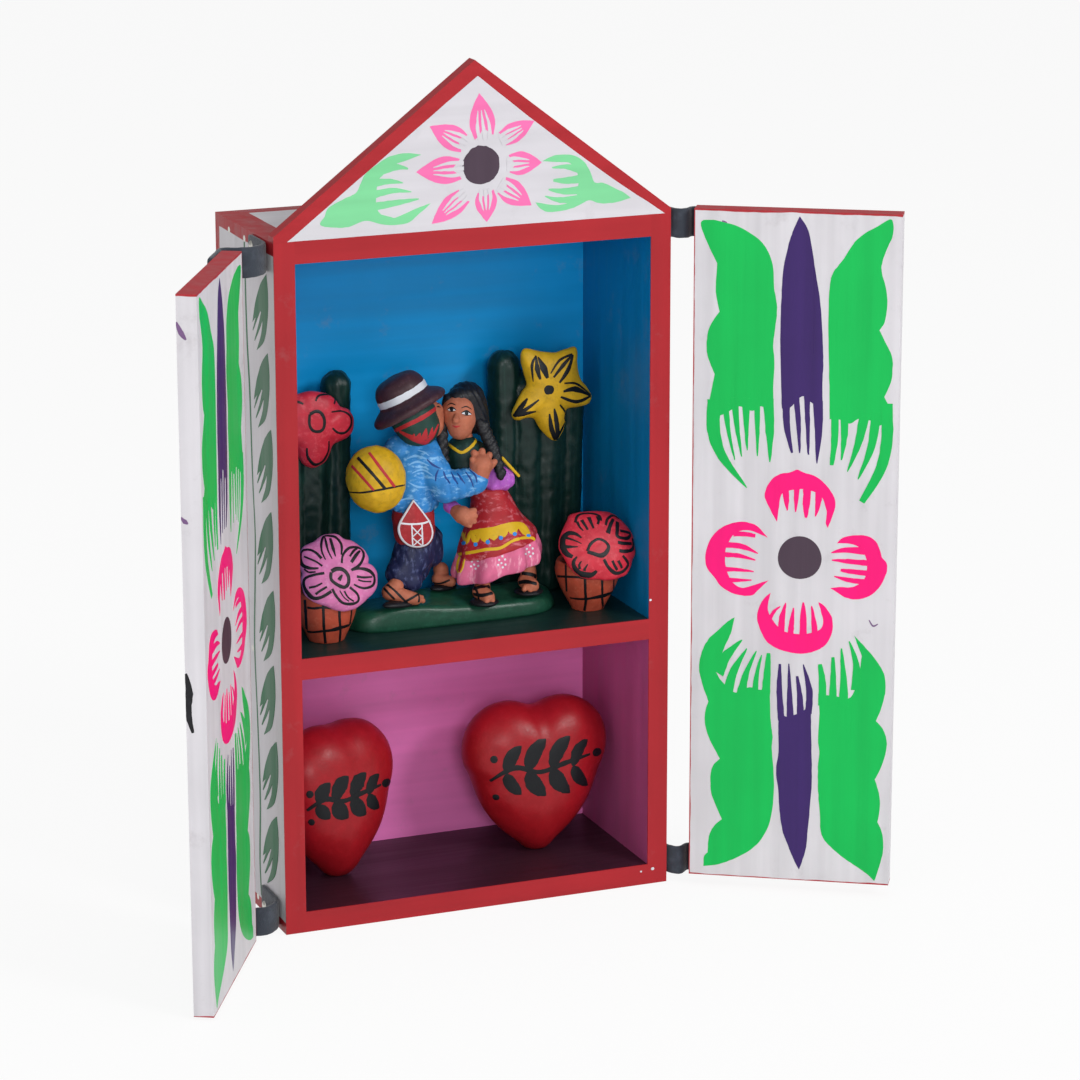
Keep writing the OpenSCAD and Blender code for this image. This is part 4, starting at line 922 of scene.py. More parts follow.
def brushOn(name, tree, strokes, material, body="case", view=closeUp, lift=0.09, steps=6):
    # strokes are (points, widths in mm); two numbers are a place in the enlarged view, three a place in mm
    verts, faces = [], []
    for k, (points, widths) in enumerate(strokes):
        line = [tuple(p) for p in points]
        if len(points[0]) < 3 or points[0][2] == 1:
            line = smoothLine(line, steps=steps)
        spots, depth = [], None
        for p in line:
            if len(p) == 3:
                near, normal, i, far = tree.find_nearest(Vector(p) * mm)
            else:
                ray = pixelRay(view["left"] + p[0] / view["scale"], view["top"] + p[1] / view["scale"])
                near, normal, i, far = tree.ray_cast(cameraAt, ray)
                if near is None:
                    if depth is None:
                        continue
                    near, normal, i, far = tree.find_nearest(cameraAt + ray * depth)
                else:
                    depth = far
            spots.append((near, normal))
        if len(spots) < 2:
            continue
        last, base = len(spots) - 1, len(verts)
        for i, (spot, normal) in enumerate(spots):
            along = spots[min(i + 1, last)][0] - spots[max(i - 1, 0)][0]
            across = along.cross(normal)
            across = across.normalized() if across.length > 1e-9 else Vector((1, 0, 0))
            place = i / last * (len(widths) - 1)
            j = min(int(place), len(widths) - 2) if len(widths) > 1 else 0
            width = widths[j] + (widths[j + 1] - widths[j]) * (place - j) if len(widths) > 1 else widths[0]
            width *= 1 + 0.16 * noise.noise(spot * 700)
            for share, height in ((-0.5, 0.04), (-0.25, lift * 0.85), (0, lift), (0.25, lift * 0.85),
                    (0.5, 0.04)):
                q, n, _, _ = tree.find_nearest(spot + across * (share * width * mm))
                verts.append(q + n * ((height + 0.002 * k) * mm))
            if i:
                b = base + (i - 1) * 5
                faces += [(b + j, b + j + 5, b + j + 6, b + j + 1) for j in range(4)]
    return newPiece(name, verts, faces, material, body)


def dot(x, y, size, view=closeUp):  # a round touch of the brush, size in mm
    reach = size * 1.46 * view["scale"]
    turns = [math.pi * i / 12 for i in range(13)]
    return [(x - reach * math.cos(a), y) for a in turns], [size * math.sin(a) for a in turns]


# Poster paint on dried clay: eggshell, with thumb-marks under it.
# dryBrush is a second colour, dragged over the high places.
def paintedClay(name, hexColour, dryBrush=None, dryAmount=0.5, gloss=0.5, tone=0.18, grainMm=0.5,
        along=(1, 1, 1)):
    material, tree = newMaterial(name)
    where = addNode(tree, "ShaderNodeTexCoord").outputs["Object"]
    fine = addNode(tree, "ShaderNodeTexNoise",
        inputs={"Vector": where, "Scale": 1000 / grainMm, "Detail": 4.0})
    thumbs = addNode(tree, "ShaderNodeTexNoise",
        inputs={"Vector": where, "Scale": 1000 / 4.0, "Detail": 3.0})
    lift = addNode(tree, "ShaderNodeMapRange", inputs={"Value": thumbs.outputs["Fac"], "From Min": 0.3,
        "From Max": 0.7, "To Min": 1 - tone, "To Max": 1 + tone * 0.5})
    grey = addNode(tree, "ShaderNodeCombineColor",
        inputs={0: lift.outputs[0], 1: lift.outputs[0], 2: lift.outputs[0]})
    colour = mixColour(tree, 1.0, toLinear(hexColour), grey.outputs[0], "MULTIPLY")
    if dryBrush:
        drag = addNode(tree, "ShaderNodeMapping", inputs={"Vector": where, "Scale": along}).outputs[0]
        hairs = addNode(tree, "ShaderNodeTexNoise",
            inputs={"Vector": drag, "Scale": 1000 / 1.6, "Detail": 5.0, "Roughness": 0.65})
        patch = addNode(tree, "ShaderNodeMapRange", {"interpolation_type": "SMOOTHSTEP"}, {
            "Value": hairs.outputs["Fac"], "From Min": 0.5, "From Max": 0.68, "To Max": dryAmount})
        colour = mixColour(tree, patch.outputs[0], colour, toLinear(dryBrush))
    rough = addNode(tree, "ShaderNodeMapRange",
        inputs={"Value": fine.outputs["Fac"], "To Min": gloss - 0.08, "To Max": gloss + 0.12})
    height = mathNode(tree, "MULTIPLY_ADD", fine.outputs["Fac"], 0.35)
    tree.links.new(thumbs.outputs["Fac"], height.node.inputs[2])
    bump = addNode(tree, "ShaderNodeBump", inputs={"Strength": 0.35, "Distance": 0.0003, "Height": height})
    surface = addNode(tree, "ShaderNodeBsdfPrincipled", inputs={
        "Base Color": colour, "Roughness": rough.outputs[0], "Normal": bump.outputs["Normal"],
        "IOR": 1.5, "Specular IOR Level": 0.3})
    addNode(tree, "ShaderNodeOutputMaterial", inputs={"Surface": surface.outputs[0]})
    return material


clay = {
    "skin": paintedClay("brownPosterPaintOnClay", "#B4684E", "#C98468", 0.3, 0.55),
    "black": paintedClay("blackPosterPaintOnClay", "#16161B", "#34363F", 0.3, 0.42, 0.1),
    "line": paintedClay("blackBrushLine", "#0B0E13", None, 0, 0.45, 0.1),
    "blossomRed": paintedClay("brightRedPosterPaint", "#C4283A", "#DA5560", 0.45, 0.42),
    "white": paintedClay("whiteBrushLine", "#DADBE2", None, 0, 0.5, 0.1),
    "yellow": paintedClay("yellowPosterPaintOnClay", "#D2A41A", "#9A7C1E", 0.4, 0.48),
    "yellowLine": paintedClay("yellowBrushLine", "#D6AC1C", None, 0, 0.48, 0.1),
    "blue": paintedClay("bluePosterPaintOnClay", "#2F82C8", "#8CC2EC", 0.85, 0.5, 0.2, 0.5,
        (0.5, 0.5, 1)),
    "creaseBlue": paintedClay("darkBlueBrushLine", "#1B3F86", None, 0, 0.5, 0.1),
    "paleBlue": paintedClay("paleBlueBrushLine", "#74AFE2", None, 0, 0.5, 0.1),
    "navy": paintedClay("navyPosterPaintOnClay", "#1E2348", "#6E78A8", 0.5, 0.45, 0.2, 0.5, (1, 1, 0.5)),
    "red": paintedClay("redPosterPaintOnClay", "#A3262C", "#C4484C", 0.4, 0.5),
    "redLine": paintedClay("redBrushLine", "#B42A30", None, 0, 0.5, 0.12),
    "apron": paintedClay("redPosterPaintDryBrushedPink", "#A81F28", "#D9808A", 0.6, 0.5, 0.2, 0.5,
        (0.35, 1, 1)),
    "hat": paintedClay("brownHatPosterPaint", "#43292F", "#6B4A50", 0.3, 0.45),
    "capGreen": paintedClay("bottleGreenPosterPaint", "#1E4038", None, 0, 0.5),
    "blouse": paintedClay("darkGreenPosterPaint", "#14302C", "#2C5A52", 0.3, 0.5),
    "mauve": paintedClay("mauvePosterPaint", "#B45CC2", "#D592DC", 0.5, 0.5),
    "pink": paintedClay("pinkPosterPaintOnClay", "#D9688F", "#F6B4C8", 0.7, 0.5, 0.16, 0.5, (1, 1, 0.3)),
    "blossom": paintedClay("rosePosterPaintOnClay", "#CC70A4", "#DC9CC2", 0.4, 0.5),
    "terracotta": paintedClay("terracottaPosterPaint", "#B04A34", "#C46850", 0.35, 0.55),
    "cactus": paintedClay("darkCactusPosterPaint", "#102B26", "#2F5048", 0.3, 0.34, 0.2, 0.5,
        (1, 1, 0.04)),
    "grass": paintedClay("glossyGreenGroundPaint", "#1A4A38", "#2E6650", 0.35, 0.3, 0.2),
    "heart": paintedClay("satinRedHeartPaint", "#9C131D", "#B22832", 0.2, 0.36, 0.12, 0.6),
    "smear": paintedClay("rubbedPurplePaint", "#7A5A86", None, 0, 0.6, 0.1),
    "dotBlue": paintedClay("blueBrushDot", "#2E86D8", None, 0, 0.5, 0.1),
}

# man: limbs are two ends (across, down, depth mm) in the enlarged view, then two radii in mm
man = {
    "jacket": [(598, 470, -1, 570, 560, -2, 6.8, 8.6), (570, 560, -2, 580, 690, -3, 8.6, 7.6),
        (520, 480, -1, 560, 560, -2, 5.2, 7), (640, 490, -4, 640, 560, -5, 5, 6),
        (640, 520, -6, 722, 642, -11, 5.4, 5.2), (722, 642, -11, 846, 612, -13.5, 5.4, 4.7)],
    "hemFront": [(505, 738, -9), (540, 752, -9.5), (583, 748, -10.4), (622, 756, -10), (650, 742, -9.5)],
    "hemBack": [(500, 745), (545, 752), (600, 750), (655, 740)],
    "sash": [(580, 770, -3, 585, 830, -3, 7.2, 7.0)],
    "trousers": [(590, 840, -2, 590, 920, -2, 7.0, 6.8), (580, 920, -3, 545, 1000, -4, 6.8, 5.8),
        (520, 1015, -5, 570, 1045, -6, 4.8, 4.2), (640, 870, 1, 650, 930, 2, 5.6, 4.8),
        (600, 960, -1, 600, 1010, -1, 5.4, 3.6)],
    "hand": [(868, 590, -14, 875, 545, -14.5, 3.2, 3.9), (862, 540, -14, 845, 492, -13.5, 1.5, 1.15),
        (878, 535, -14.5, 880, 484, -14, 1.5, 1.15), (893, 545, -14.5, 912, 500, -14, 1.5, 1.1),
        (905, 560, -14.5, 935, 530, -14, 1.5, 1.05), (860, 560, -15, 838, 520, -15, 1.4, 1.0)],
    "face": [(642, 340, -2, 656, 368, -2.5, 6.2, 4.6), (676, 305, -3, 680, 335, -3.5, 2.6, 2.5),
        (690, 345, -4, 692, 352, -4, 1.2, 1.1)],
    "cap": [(588, 345, -3, 600, 370, -3.5, 8.1, 7.4), (600, 370, -4, 640, 430, -6, 6.4, 2.0)],
    "feet": [(505, 1068, -8, 480, 1098, -8, 2.6, 2.9), (480, 1100, -9, 590, 1128, -12, 2.7, 2.1),
        (600, 1128, -12.5, 622, 1136, -12.5, 0.9, 0.9), (595, 1118, -11.5, 616, 1122, -11.5, 0.9, 0.9),
        (700, 1000, 4, 705, 1030, 4, 2.6, 2.4), (690, 1040, 3, 745, 1052, 0, 2.3, 1.8)],
    "soles": [((530, 1146, -10), (8.2, 3.4, 1.4), (0, 4, 22)),
        ((712, 1076, 2), (5.8, 2.8, 1.2), (0, 4, 22))],
    "hatAt": (551, 272, -3), "brimR": 13.0, "crownR": 8.7, "crownH": 9.6, "hatTurn": (-12, -25),
    "bundleAt": (418, 606, -8), "bundle": (10.0, 9.2, 11.4),
}


def lumpsOf(rows):
    return [limb(at(r[0], r[1], r[2]), at(r[3], r[4], r[5]), r[6], r[7]) for r in rows]


def sleeveFolds(p):  # soft rings round the forearm
    a, b = at(722, 642, -11), at(862, 612, -13.5)
    t = (p - a).dot(b - a) / (b - a).length_squared
    return -0.28 * max(0.0, math.sin(t * 26)) ** 3 if 0.05 < t < 1.02 else 0.0


jacket = clayForm("manJacket", lumpsOf(man["jacket"]), clay["blue"], shape=sleeveFolds)
frontFlaps = [limb(at(x, 712, -6.5), at(x + 2, y, d + 2), 3.0, 0.8) for x, y, d in man["hemFront"]]
backFlaps = [limb(at(x, 712, 1), at(x + 2, y, 4), 3.0, 0.8) for x, y in man["hemBack"]]
flaps = clayForm("manJacketHem", frontFlaps + backFlaps, clay["blue"])
clayForm("manSash", lumpsOf(man["sash"]), clay["red"])
clayForm("manTrousers", lumpsOf(man["trousers"]), clay["navy"],
    shape=lambda p: -0.22 * max(0.0, math.sin(p.x * 1.9 + p.z * 0.5)) ** 3)
clayForm("manHand", lumpsOf(man["hand"]), clay["skin"], voxel=0.3, smooth=2, lumpy=0.05)
manFace = clayForm("manFace", lumpsOf(man["face"]), clay["skin"], voxel=0.35)
cap = clayForm("manKnittedCap", lumpsOf(man["cap"]), clay["capGreen"])
manFeet = clayForm("manFeet", lumpsOf(man["feet"]), clay["skin"], voxel=0.3, smooth=2, lumpy=0.05)
clayForm("manSandals", [ball(at(*c), r, t) for c, r, t in man["soles"]], clay["black"], voxel=0.3, smooth=2)
bundle = clayForm("manBundle", [ball(at(*man["bundleAt"]), man["bundle"], (0, -14, 0))], clay["yellow"],
    lumpy=0.2)

# hat: one lathe with a rolled brim, turned onto the head
profile = [(0, man["crownH"]), (3.6, man["crownH"] - 0.1), (6.6, man["crownH"] - 1.1),
    (8.1, man["crownH"] - 3.0), (8.6, 4.8), (man["crownR"], 2.4), (9.4, 1.3), (man["brimR"] - 1.4, 0.2),
    (man["brimR"] - 0.2, -0.7), (man["brimR"], -1.7), (man["brimR"] - 0.6, -2.6),
    (man["brimR"] - 1.8, -2.7), (9.6, -1.6), (8.2, -0.4)]
tiltX, tiltY = (math.radians(a) for a in man["hatTurn"])
hatTurn = Matrix.Rotation(tiltY, 3, "Y") @ Matrix.Rotation(tiltX, 3, "X")
hatAt = at(*man["hatAt"])
ringCount = 64
smoothProfile = smoothLine(profile, steps=4)
verts = []
for r, h in smoothProfile:
    for i in range(ringCount):
        a = 2 * math.pi * i / ringCount
        sag = -0.9 * (r / man["brimR"]) ** 4 * (0.6 + 0.4 * math.cos(2 * a))
        spot = Vector((r * math.cos(a), r * math.sin(a), h))
        spot.z += sag + 0.15 * noise.noise(spot * 0.3)
        verts.append((hatAt + hatTurn @ spot) * mm)
faces = [face[::-1] for face in ringFaces(len(smoothProfile), ringCount, False, False)]
hat = newPiece("manHat", verts, faces, clay["hat"], "case")
hatTree = treeOf(hat)
bandLine = [tuple(hatAt + hatTurn @ Vector((8.9 * math.cos(a), 8.9 * math.sin(a), 3.2)))
    for a in (2 * math.pi * i / 60 for i in range(61))]
brushOn("manHatBand", hatTree, [(bandLine, [2.3])], clay["white"], lift=0.16)

pouchShape = smoothLine([(580, 690, 1), (625, 745), (662, 800), (672, 850), (650, 892), (600, 908),
    (550, 895), (516, 855), (512, 805), (545, 745)], True)
pouchMiddle = at(592, 815, -10.4)
verts = [at(x, y, -9.0) for x, y in pouchShape]
for depth, share in ((-10.6, 0.96), (-11.2, 0.86)):
    verts += [pouchMiddle + (at(x, y, depth) - pouchMiddle) * share for x, y in pouchShape]
verts.append(at(592, 815, -11.5))
n = len(pouchShape)
faces = ringFaces(3, n, topCap=False) + [(2 * n + i, 2 * n + (i + 1) % n, 3 * n) for i in range(n)]
pouch = newPiece("manPouch", [v * mm for v in verts], faces, clay["red"], "case")
outwardFaces(pouch.data)
pouchTree = treeOf(pouch)
brushOn("manPouchLines", pouchTree, [
    ([(592 + (x - 592) * 0.9, 812 + (y - 812) * 0.93) for x, y in pouchShape[::3] + pouchShape[:1]],
        [0.8]),
    ([(524, 798), (570, 802), (625, 798), (662, 782)], [0.6]),
    ([(574, 805), (576, 850), (578, 898)], [0.5]), ([(618, 803), (620, 850), (622, 900)], [0.5]),
    ([(576, 815), (598, 838), (620, 858)], [0.4]), ([(618, 815), (598, 838), (576, 858)], [0.4]),
    ([(578, 862), (598, 880), (620, 896)], [0.4]), ([(618, 862), (598, 880), (580, 896)], [0.4])],
    clay["white"])

jacketTree = treeOf(jacket, flaps)
capTree = treeOf(cap)
brushOn("jacketCreases", jacketTree, [
    ([(690, 565), (680, 590), (678, 615)], [0.3, 0.7, 0.3]),
    ([(712, 572), (722, 600), (742, 625)], [0.3, 0.9, 0.3]),
    ([(745, 575), (760, 605), (775, 628)], [0.3, 0.9, 0.3]),
    ([(772, 580), (790, 605), (805, 625)], [0.3, 0.8, 0.3]),
    ([(808, 575), (830, 605), (842, 640)], [0.3, 0.8, 0.3]),
    ([(825, 565), (850, 590), (858, 620)], [0.3, 0.7, 0.3]),
    ([(640, 520), (668, 545), (700, 560)], [0.3, 0.8, 0.3])], clay["creaseBlue"])
brushOn("jacketLights", jacketTree, [
    ([(548, 520), (590, 505), (640, 520)], [0.2, 0.9, 0.2]),
    ([(560, 545), (600, 530), (650, 548)], [0.2, 0.8, 0.2]),
    ([(575, 580), (620, 565), (665, 590)], [0.2, 0.7, 0.2]),
    ([(700, 600), (740, 590), (790, 600)], [0.2, 1.0, 0.2]),
    ([(560, 620), (600, 640), (640, 640)], [0.2, 0.8, 0.2]),
    ([(520, 700), (560, 690), (600, 700)], [0.2, 0.7, 0.2]),
    ([(790, 590), (815, 585), (840, 590)], [0.2, 0.7, 0.2]),
    ([(600, 480), (630, 490), (650, 505)], [0.2, 0.6, 0.2])], clay["paleBlue"], lift=0.06)
brushOn("capRed", capTree, [
    ([(500, 396), (560, 368), (620, 338), (672, 304), (690, 286)], [1.2, 1.5, 1.2]),
    ([(520, 398), (570, 424), (606, 440), (640, 452)], [1.0, 2.0, 2.6, 1.8]),
    ([(640, 445), (668, 415), (690, 368)], [2.2, 2.0, 0.8]),
    ([(598, 438), (606, 418), (610, 404)], [2.6, 1.5, 0.2]),
    ([(626, 436), (632, 410), (637, 384)], [2.8, 1.8, 0.2]),
    ([(655, 422), (660, 400), (664, 380)], [2.4, 1.5, 0.2]),
    ([(578, 430), (582, 418), (584, 408)], [1.8, 1.0, 0.2])], clay["redLine"], lift=0.12)
bundleTree = treeOf(bundle)
brushOn("bundleRed", bundleTree, [([(312, 548), (360, 600), (408, 655)], [0.9, 1.0, 0.9]),
    ([(388, 490), (440, 560), (500, 640)], [0.9, 1.1, 1.0])], clay["redLine"])
brushOn("bundleBlack", bundleTree, [([(338, 512), (400, 580), (460, 650)], [1.0]),
    ([(285, 660), (350, 665), (420, 655), (490, 642), (550, 630)], [0.5, 0.8, 0.5])], clay["line"])
feetTree = treeOf(manFeet)
brushOn("manSandalStraps", feetTree, [
    ([(462, 1062), (500, 1092), (530, 1122), (556, 1146)], [0.9, 0.8, 0.7]),
    ([(604, 1106), (578, 1122), (540, 1142)], [0.7, 0.8, 0.9]),
    ([(452, 1080), (470, 1100), (500, 1130)], [0.8]), ([(600, 1098), (606, 1120), (604, 1142)], [0.7]),
    ([(668, 1058), (700, 1060), (740, 1045)], [0.7])], clay["line"])
brushOn("manEye", treeOf(manFace), [
    ([(684, 292), (692, 290), (699, 294)], [0.25, 0.6, 0.25]),
    ([(684, 279), (692, 276), (700, 280)], [0.3])], clay["line"])
for piece, node, finish in ((jacket, "man", "figure_clay"), (hat, "hat", "hat_clay"),
        (bundle, "bundle", "yellow_clay"), (pouch, "pouch", "red_clay")):
    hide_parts(node)
print("man modelled")

# woman, given in the same way as the man
woman = {
    "face": [(775, 304, -3, 782, 345, -3.5, 5.5, 5.4), (780, 350, -4.5, 784, 380, -4.6, 5.2, 4.2),
        (800, 420, -2, 805, 455, -2, 3, 3.2)],
    "nose": [(768, 328, -8.2, 766, 348, -9.3, 0.7, 1.35)],
    "hair": [(812, 265, 0.5, 830, 330, 0.5, 6.6, 6.2), (778, 254, -2.5, 820, 250, -2, 3.6, 3.8),
        (860, 300, -2.5, 880, 380, -3, 3, 2.8), (735, 262, -2, 724, 290, -1.5, 2.4, 1.6)],
    "rightBraid": [(880, 370, -5), (902, 425, -7), (925, 475, -9), (946, 530, -10.5), (965, 592, -11.5)],
    "leftBraid": [(708, 325, -2), (706, 400, -4), (710, 470, -5.5), (718, 540, -7)],
    "blouse": [(800, 490, -2.5, 810, 590, -3, 6.2, 7), (850, 500, -2, 905, 560, -3, 4.8, 4.4),
        (740, 500, -1, 760, 560, -2, 3.6, 4.4)],
    "sleeve": [(935, 590, -5, 970, 605, -6, 4.2, 4.0), (905, 600, -5, 930, 620, -6, 3.4, 3.2),
        (738, 722, -6, 765, 738, -8.5, 2.2, 2.4)],
    "hand": [(772, 748, -10, 790, 760, -12, 2.4, 3), (795, 760, -12.5, 812, 778, -13, 2.9, 2.6),
        (822, 750, -13.5, 846, 742, -14, 1.3, 1.0), (826, 768, -13.8, 850, 766, -14.3, 1.3, 1.0),
        (822, 785, -13.8, 846, 790, -14.3, 1.3, 0.95), (806, 796, -13.5, 826, 808, -14, 1.2, 0.9)],
    "feet": [(880, 1050, -6, 882, 1085, -7, 2.8, 2.6), (872, 1095, -9, 905, 1120, -12.5, 2.7, 2.4),
        (905, 1128, -13.5, 900, 1140, -14.2, 0.9, 0.9), (925, 1120, -13.2, 926, 1134, -14, 0.9, 0.9),
        (1080, 1000, -4, 1085, 1035, -4, 2.8, 2.6), (1070, 1050, -5, 1098, 1070, -8.5, 2.7, 2.4),
        (1068, 1075, -9.5, 1064, 1086, -10, 0.9, 0.9), (1088, 1076, -9.5, 1090, 1090, -10, 0.9, 0.9)],
    "soles": [((890, 1140, -11), (4.9, 4.8, 1.3), (0, 0, -40)),
        ((1082, 1094, -7), (5.0, 4.8, 1.3), (0, 0, -20))],
}


def braid(points, thick):
    line = smoothLine([(p[0], p[1]) for p in points], steps=4)
    depths = smoothLine([(p[2], 0) for p in points], steps=4)
    out = []
    for i, (x, y) in enumerate(line):
        side = 9 if i % 2 else -9
        r = thick * (1.0 - 0.35 * i / len(line))
        out.append(
            ball(at(x + side * 0.7, y, depths[i][0]), (r, r, r * 1.35), (0, 25 if i % 2 else -25, 0)))
    return out


womanFace = clayForm("womanFace", lumpsOf(woman["face"]) + lumpsOf(woman["nose"]), clay["skin"],
    voxel=0.3, smooth=4, lumpy=0.03)
clayForm("womanHair", lumpsOf(woman["hair"]), clay["black"],
    shape=lambda p: 0.12 * math.sin(p.x * 3 + p.z * 1.5))
clayForm("womanBraids", braid(woman["rightBraid"], 1.9) + braid(woman["leftBraid"], 1.8), clay["black"],
    voxel=0.3, smooth=1)
blouse = clayForm("womanBlouse", lumpsOf(woman["blouse"]), clay["blouse"])
clayForm("womanSleeve", lumpsOf(woman["sleeve"]), clay["mauve"], shape=lambda p: 0.15 * math.sin(p.x * 2.4))


# skirts: rings from the waist to the hem, pleated towards the hem
def skirtForm(name, rings, pleats, depth, material):
    verts, count, steps = [], 160, 5
    levels = [smoothLine([(r[0], r[k]) for r in rings], steps=steps) for k in (1, 2, 3, 4, 5, 6)]
    for (x, y), (_, centreDepth), (_, rx), (_, ry), (_, share), (_, lean) in zip(*levels):
        c = at(x, y, centreDepth)
        for i in range(count):
            a = 2 * math.pi * i / count
            w = 1 + share * depth * math.cos(pleats * a + 0.9 * math.sin(a * 2 + 1))
            along = rx * w * math.cos(a)
            drop = lean * along + 0.5 * share * math.sin(a * 3)
            verts.append((c + Vector((along, ry * w * math.sin(a), drop))) * mm)
    piece = newPiece(name, verts, ringFaces(len(levels[0]), count), material, "case")
    outwardFaces(piece.data)
    return piece


apron = skirtForm("womanApron", [
    (898, 640, -3, 6.2, 6, 0, 0), (920, 690, -3.5, 6.9, 6.6, 0, 0.03),
    (930, 760, -3.5, 8.8, 7.8, 0.2, 0.1), (938, 820, -4, 11.3, 9.6, 0.4, 0.18),
    (944, 858, -4, 12.9, 10.8, 0.5, 0.22), (947, 885, -4, 13.5, 11.4, 0.5, 0.24),
    (947, 893, -4, 12.8, 10.7, 0.5, 0.24), (946, 880, -4, 9, 8, 0.2, 0.24)], 9, 0.05, clay["apron"])
skirt = skirtForm("womanSkirt", [
    (944, 850, -4, 10, 9, 0.2, 0.2), (946, 880, -4, 12.7, 10.8, 0.6, 0.22),
    (947, 918, -4, 13.8, 11.4, 0.9, 0.22), (946, 950, -4, 14.5, 11.8, 1, 0.22),
    (945, 975, -4, 14.6, 11.9, 1, 0.22), (945, 994, -4, 13.8, 11.3, 1, 0.22),
    (945, 990, -4, 11, 9.4, 0.6, 0.22)], 9, 0.085, clay["pink"])
clayForm("womanHand", lumpsOf(woman["hand"]), clay["skin"], voxel=0.3, smooth=2, lumpy=0.05)
womanFeet = clayForm("womanFeet", lumpsOf(woman["feet"]), clay["skin"], voxel=0.3, smooth=2, lumpy=0.05)
clayForm("womanSandals", [ball(at(*c), r, t) for c, r, t in woman["soles"]], clay["black"], voxel=0.3,
    smooth=2)

brushOn("womanEyeWhites", treeOf(womanFace), [
    ([(731, 303), (747, 302), (765, 305)], [0.3, 1.35, 0.3]),
    ([(792, 319), (812, 318), (832, 323)], [0.3, 1.4, 0.3])], clay["white"], lift=0.08)
faceTree = treeOf(womanFace)
blouseTree = treeOf(blouse, womanFace)
apronTree = treeOf(apron)
skirtTree = treeOf(skirt)
brushOn("womanFeatures", faceTree, [
    ([(729, 303), (747, 295), (767, 305)], [0.25, 0.8, 0.3]),
    ([(790, 318), (812, 310), (834, 323)], [0.25, 0.8, 0.3]),
    ([(734, 308), (748, 311), (763, 308)], [0.15, 0.3, 0.15]),
    ([(796, 325), (812, 328), (829, 326)], [0.15, 0.3, 0.15]),
    ([(728, 285), (746, 276), (766, 284)], [0.2, 0.45, 0.2]),
    ([(790, 296), (812, 290), (834, 302)], [0.2, 0.45, 0.2])], clay["line"])
brushOn("womanPupils", faceTree, [dot(748, 303, 1.2), dot(812, 319, 1.25)], clay["line"], lift=0.2)
brushOn("womanLips", faceTree, [([(750, 373), (767, 378), (785, 374)], [0.2, 0.9, 0.2])], clay["redLine"])
brushOn("womanYellowTrim", blouseTree,
    [([(732, 451), (757, 472), (792, 490), (828, 469), (852, 441), (867, 405)], [0.8, 1.05, 0.8])],
    clay["yellowLine"], lift=0.14)
clayForm("womanYellowTie", [limb(at(968, 514, -8), at(1040, 592, -8), 0.6, 0.5)], clay["yellowLine"],
    voxel=0.25, smooth=1, lumpy=0)
zigzag = [(772, 866), (792, 842), (812, 880), (830, 840), (852, 876), (872, 838), (892, 868), (912, 832),
    (930, 858), (950, 826), (972, 846), (992, 812), (1015, 838), (1035, 808), (1058, 836), (1080, 846)]
brushOn("apronYellow", apronTree, [
    (zigzag, [1.6, 2.4, 1.6]),
    ([(772, 852), (850, 838), (930, 828), (1000, 808), (1060, 812), (1085, 846)],
        [1.4, 2.4, 2.0, 2.6, 1.4]),
    ([(776, 934), (850, 922), (900, 912), (960, 906), (1020, 872), (1090, 860), (1132, 882)], [1.0])],
    clay["yellowLine"], steps=4)
brushOn("apronDots", apronTree, [dot(x, y, 1.45) for x, y in (
    (800, 884), (852, 890), (905, 880), (962, 862), (1022, 844), (1082, 852))], clay["dotBlue"], lift=0.14)
dotCluster = [(0, -20), (-14, -4), (12, -6), (-4, 10), (14, 16), (-18, 18), (2, 28)]
skirtSpots = [(cx + x, cy + y) for cx, cy in ((850, 968), (968, 962), (1088, 914)) for x, y in dotCluster]
brushOn("skirtDots", skirtTree, [dot(x, y, 0.75) for x, y in skirtSpots], clay["white"], lift=0.12)
brushOn("apronEdgeRed", skirtTree,
    [([(806, 925), (792, 950), (784, 985), (784, 1010)], [2.2, 3.0, 2.6, 1.2])], clay["redLine"],
    lift=0.1)
brushOn("apronEdgeYellow", skirtTree, [
    ([(795, 922), (778, 955), (772, 990), (776, 1016)], [0.9, 1.1, 1.0]),
    ([(815, 935), (802, 962), (796, 990), (784, 1014)], [0.5, 0.8, 0.6])], clay["yellowLine"], lift=0.16)
womanFeetTree = treeOf(womanFeet)
brushOn("womanSandalStraps", womanFeetTree, [
    ([(842, 1084), (880, 1074), (932, 1078)], [1.2, 1.5, 1.2]),
    ([(838, 1106), (880, 1112), (930, 1100)], [1.1, 1.3, 1.1]),
    ([(846, 1075), (860, 1100), (866, 1130)], [0.9]),
    ([(1030, 1022), (1070, 1018), (1122, 1032)], [1.4, 1.6, 1.4]),
    ([(1030, 1062), (1068, 1052), (1118, 1062)], [1.2, 1.4, 1.2])], clay["line"])
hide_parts("woman")
print("woman modelled")

# cacti, flowers, baskets and ground
garden = {
    # x, radius and height of each column
    "left": [(-41, 7.0, 74), (-48.5, 7.0, 70.5), (-55, 4.6, 60), (-31.6, 5.2, 83)],
    "right": [(36, 7.2, 77.4), (43.5, 7.6, 75.7), (50.5, 6.5, 69.7), (28, 5.8, 85)],
    "cactusDepth": 17.5, "ribs": 7, "ribDepth": 0.12,
    # x, y, rim radius, foot radius and height
    "basketLeft": (-46, -11, 10.2, 6.0, 17), "basketRight": (47.6, -9, 11, 5.6, 17),
    "groundWidth": 79, "groundDepth": 24.6, "groundHeight": 5.5, "groundDeep": -0.5,
    # x, y, rise and the two half spreads
    "mounds": [(-19, -10, 2.5, 16, 12), (0, 4, 3.2, 18, 8), (30, 5, 1.8, 12, 8)],
}


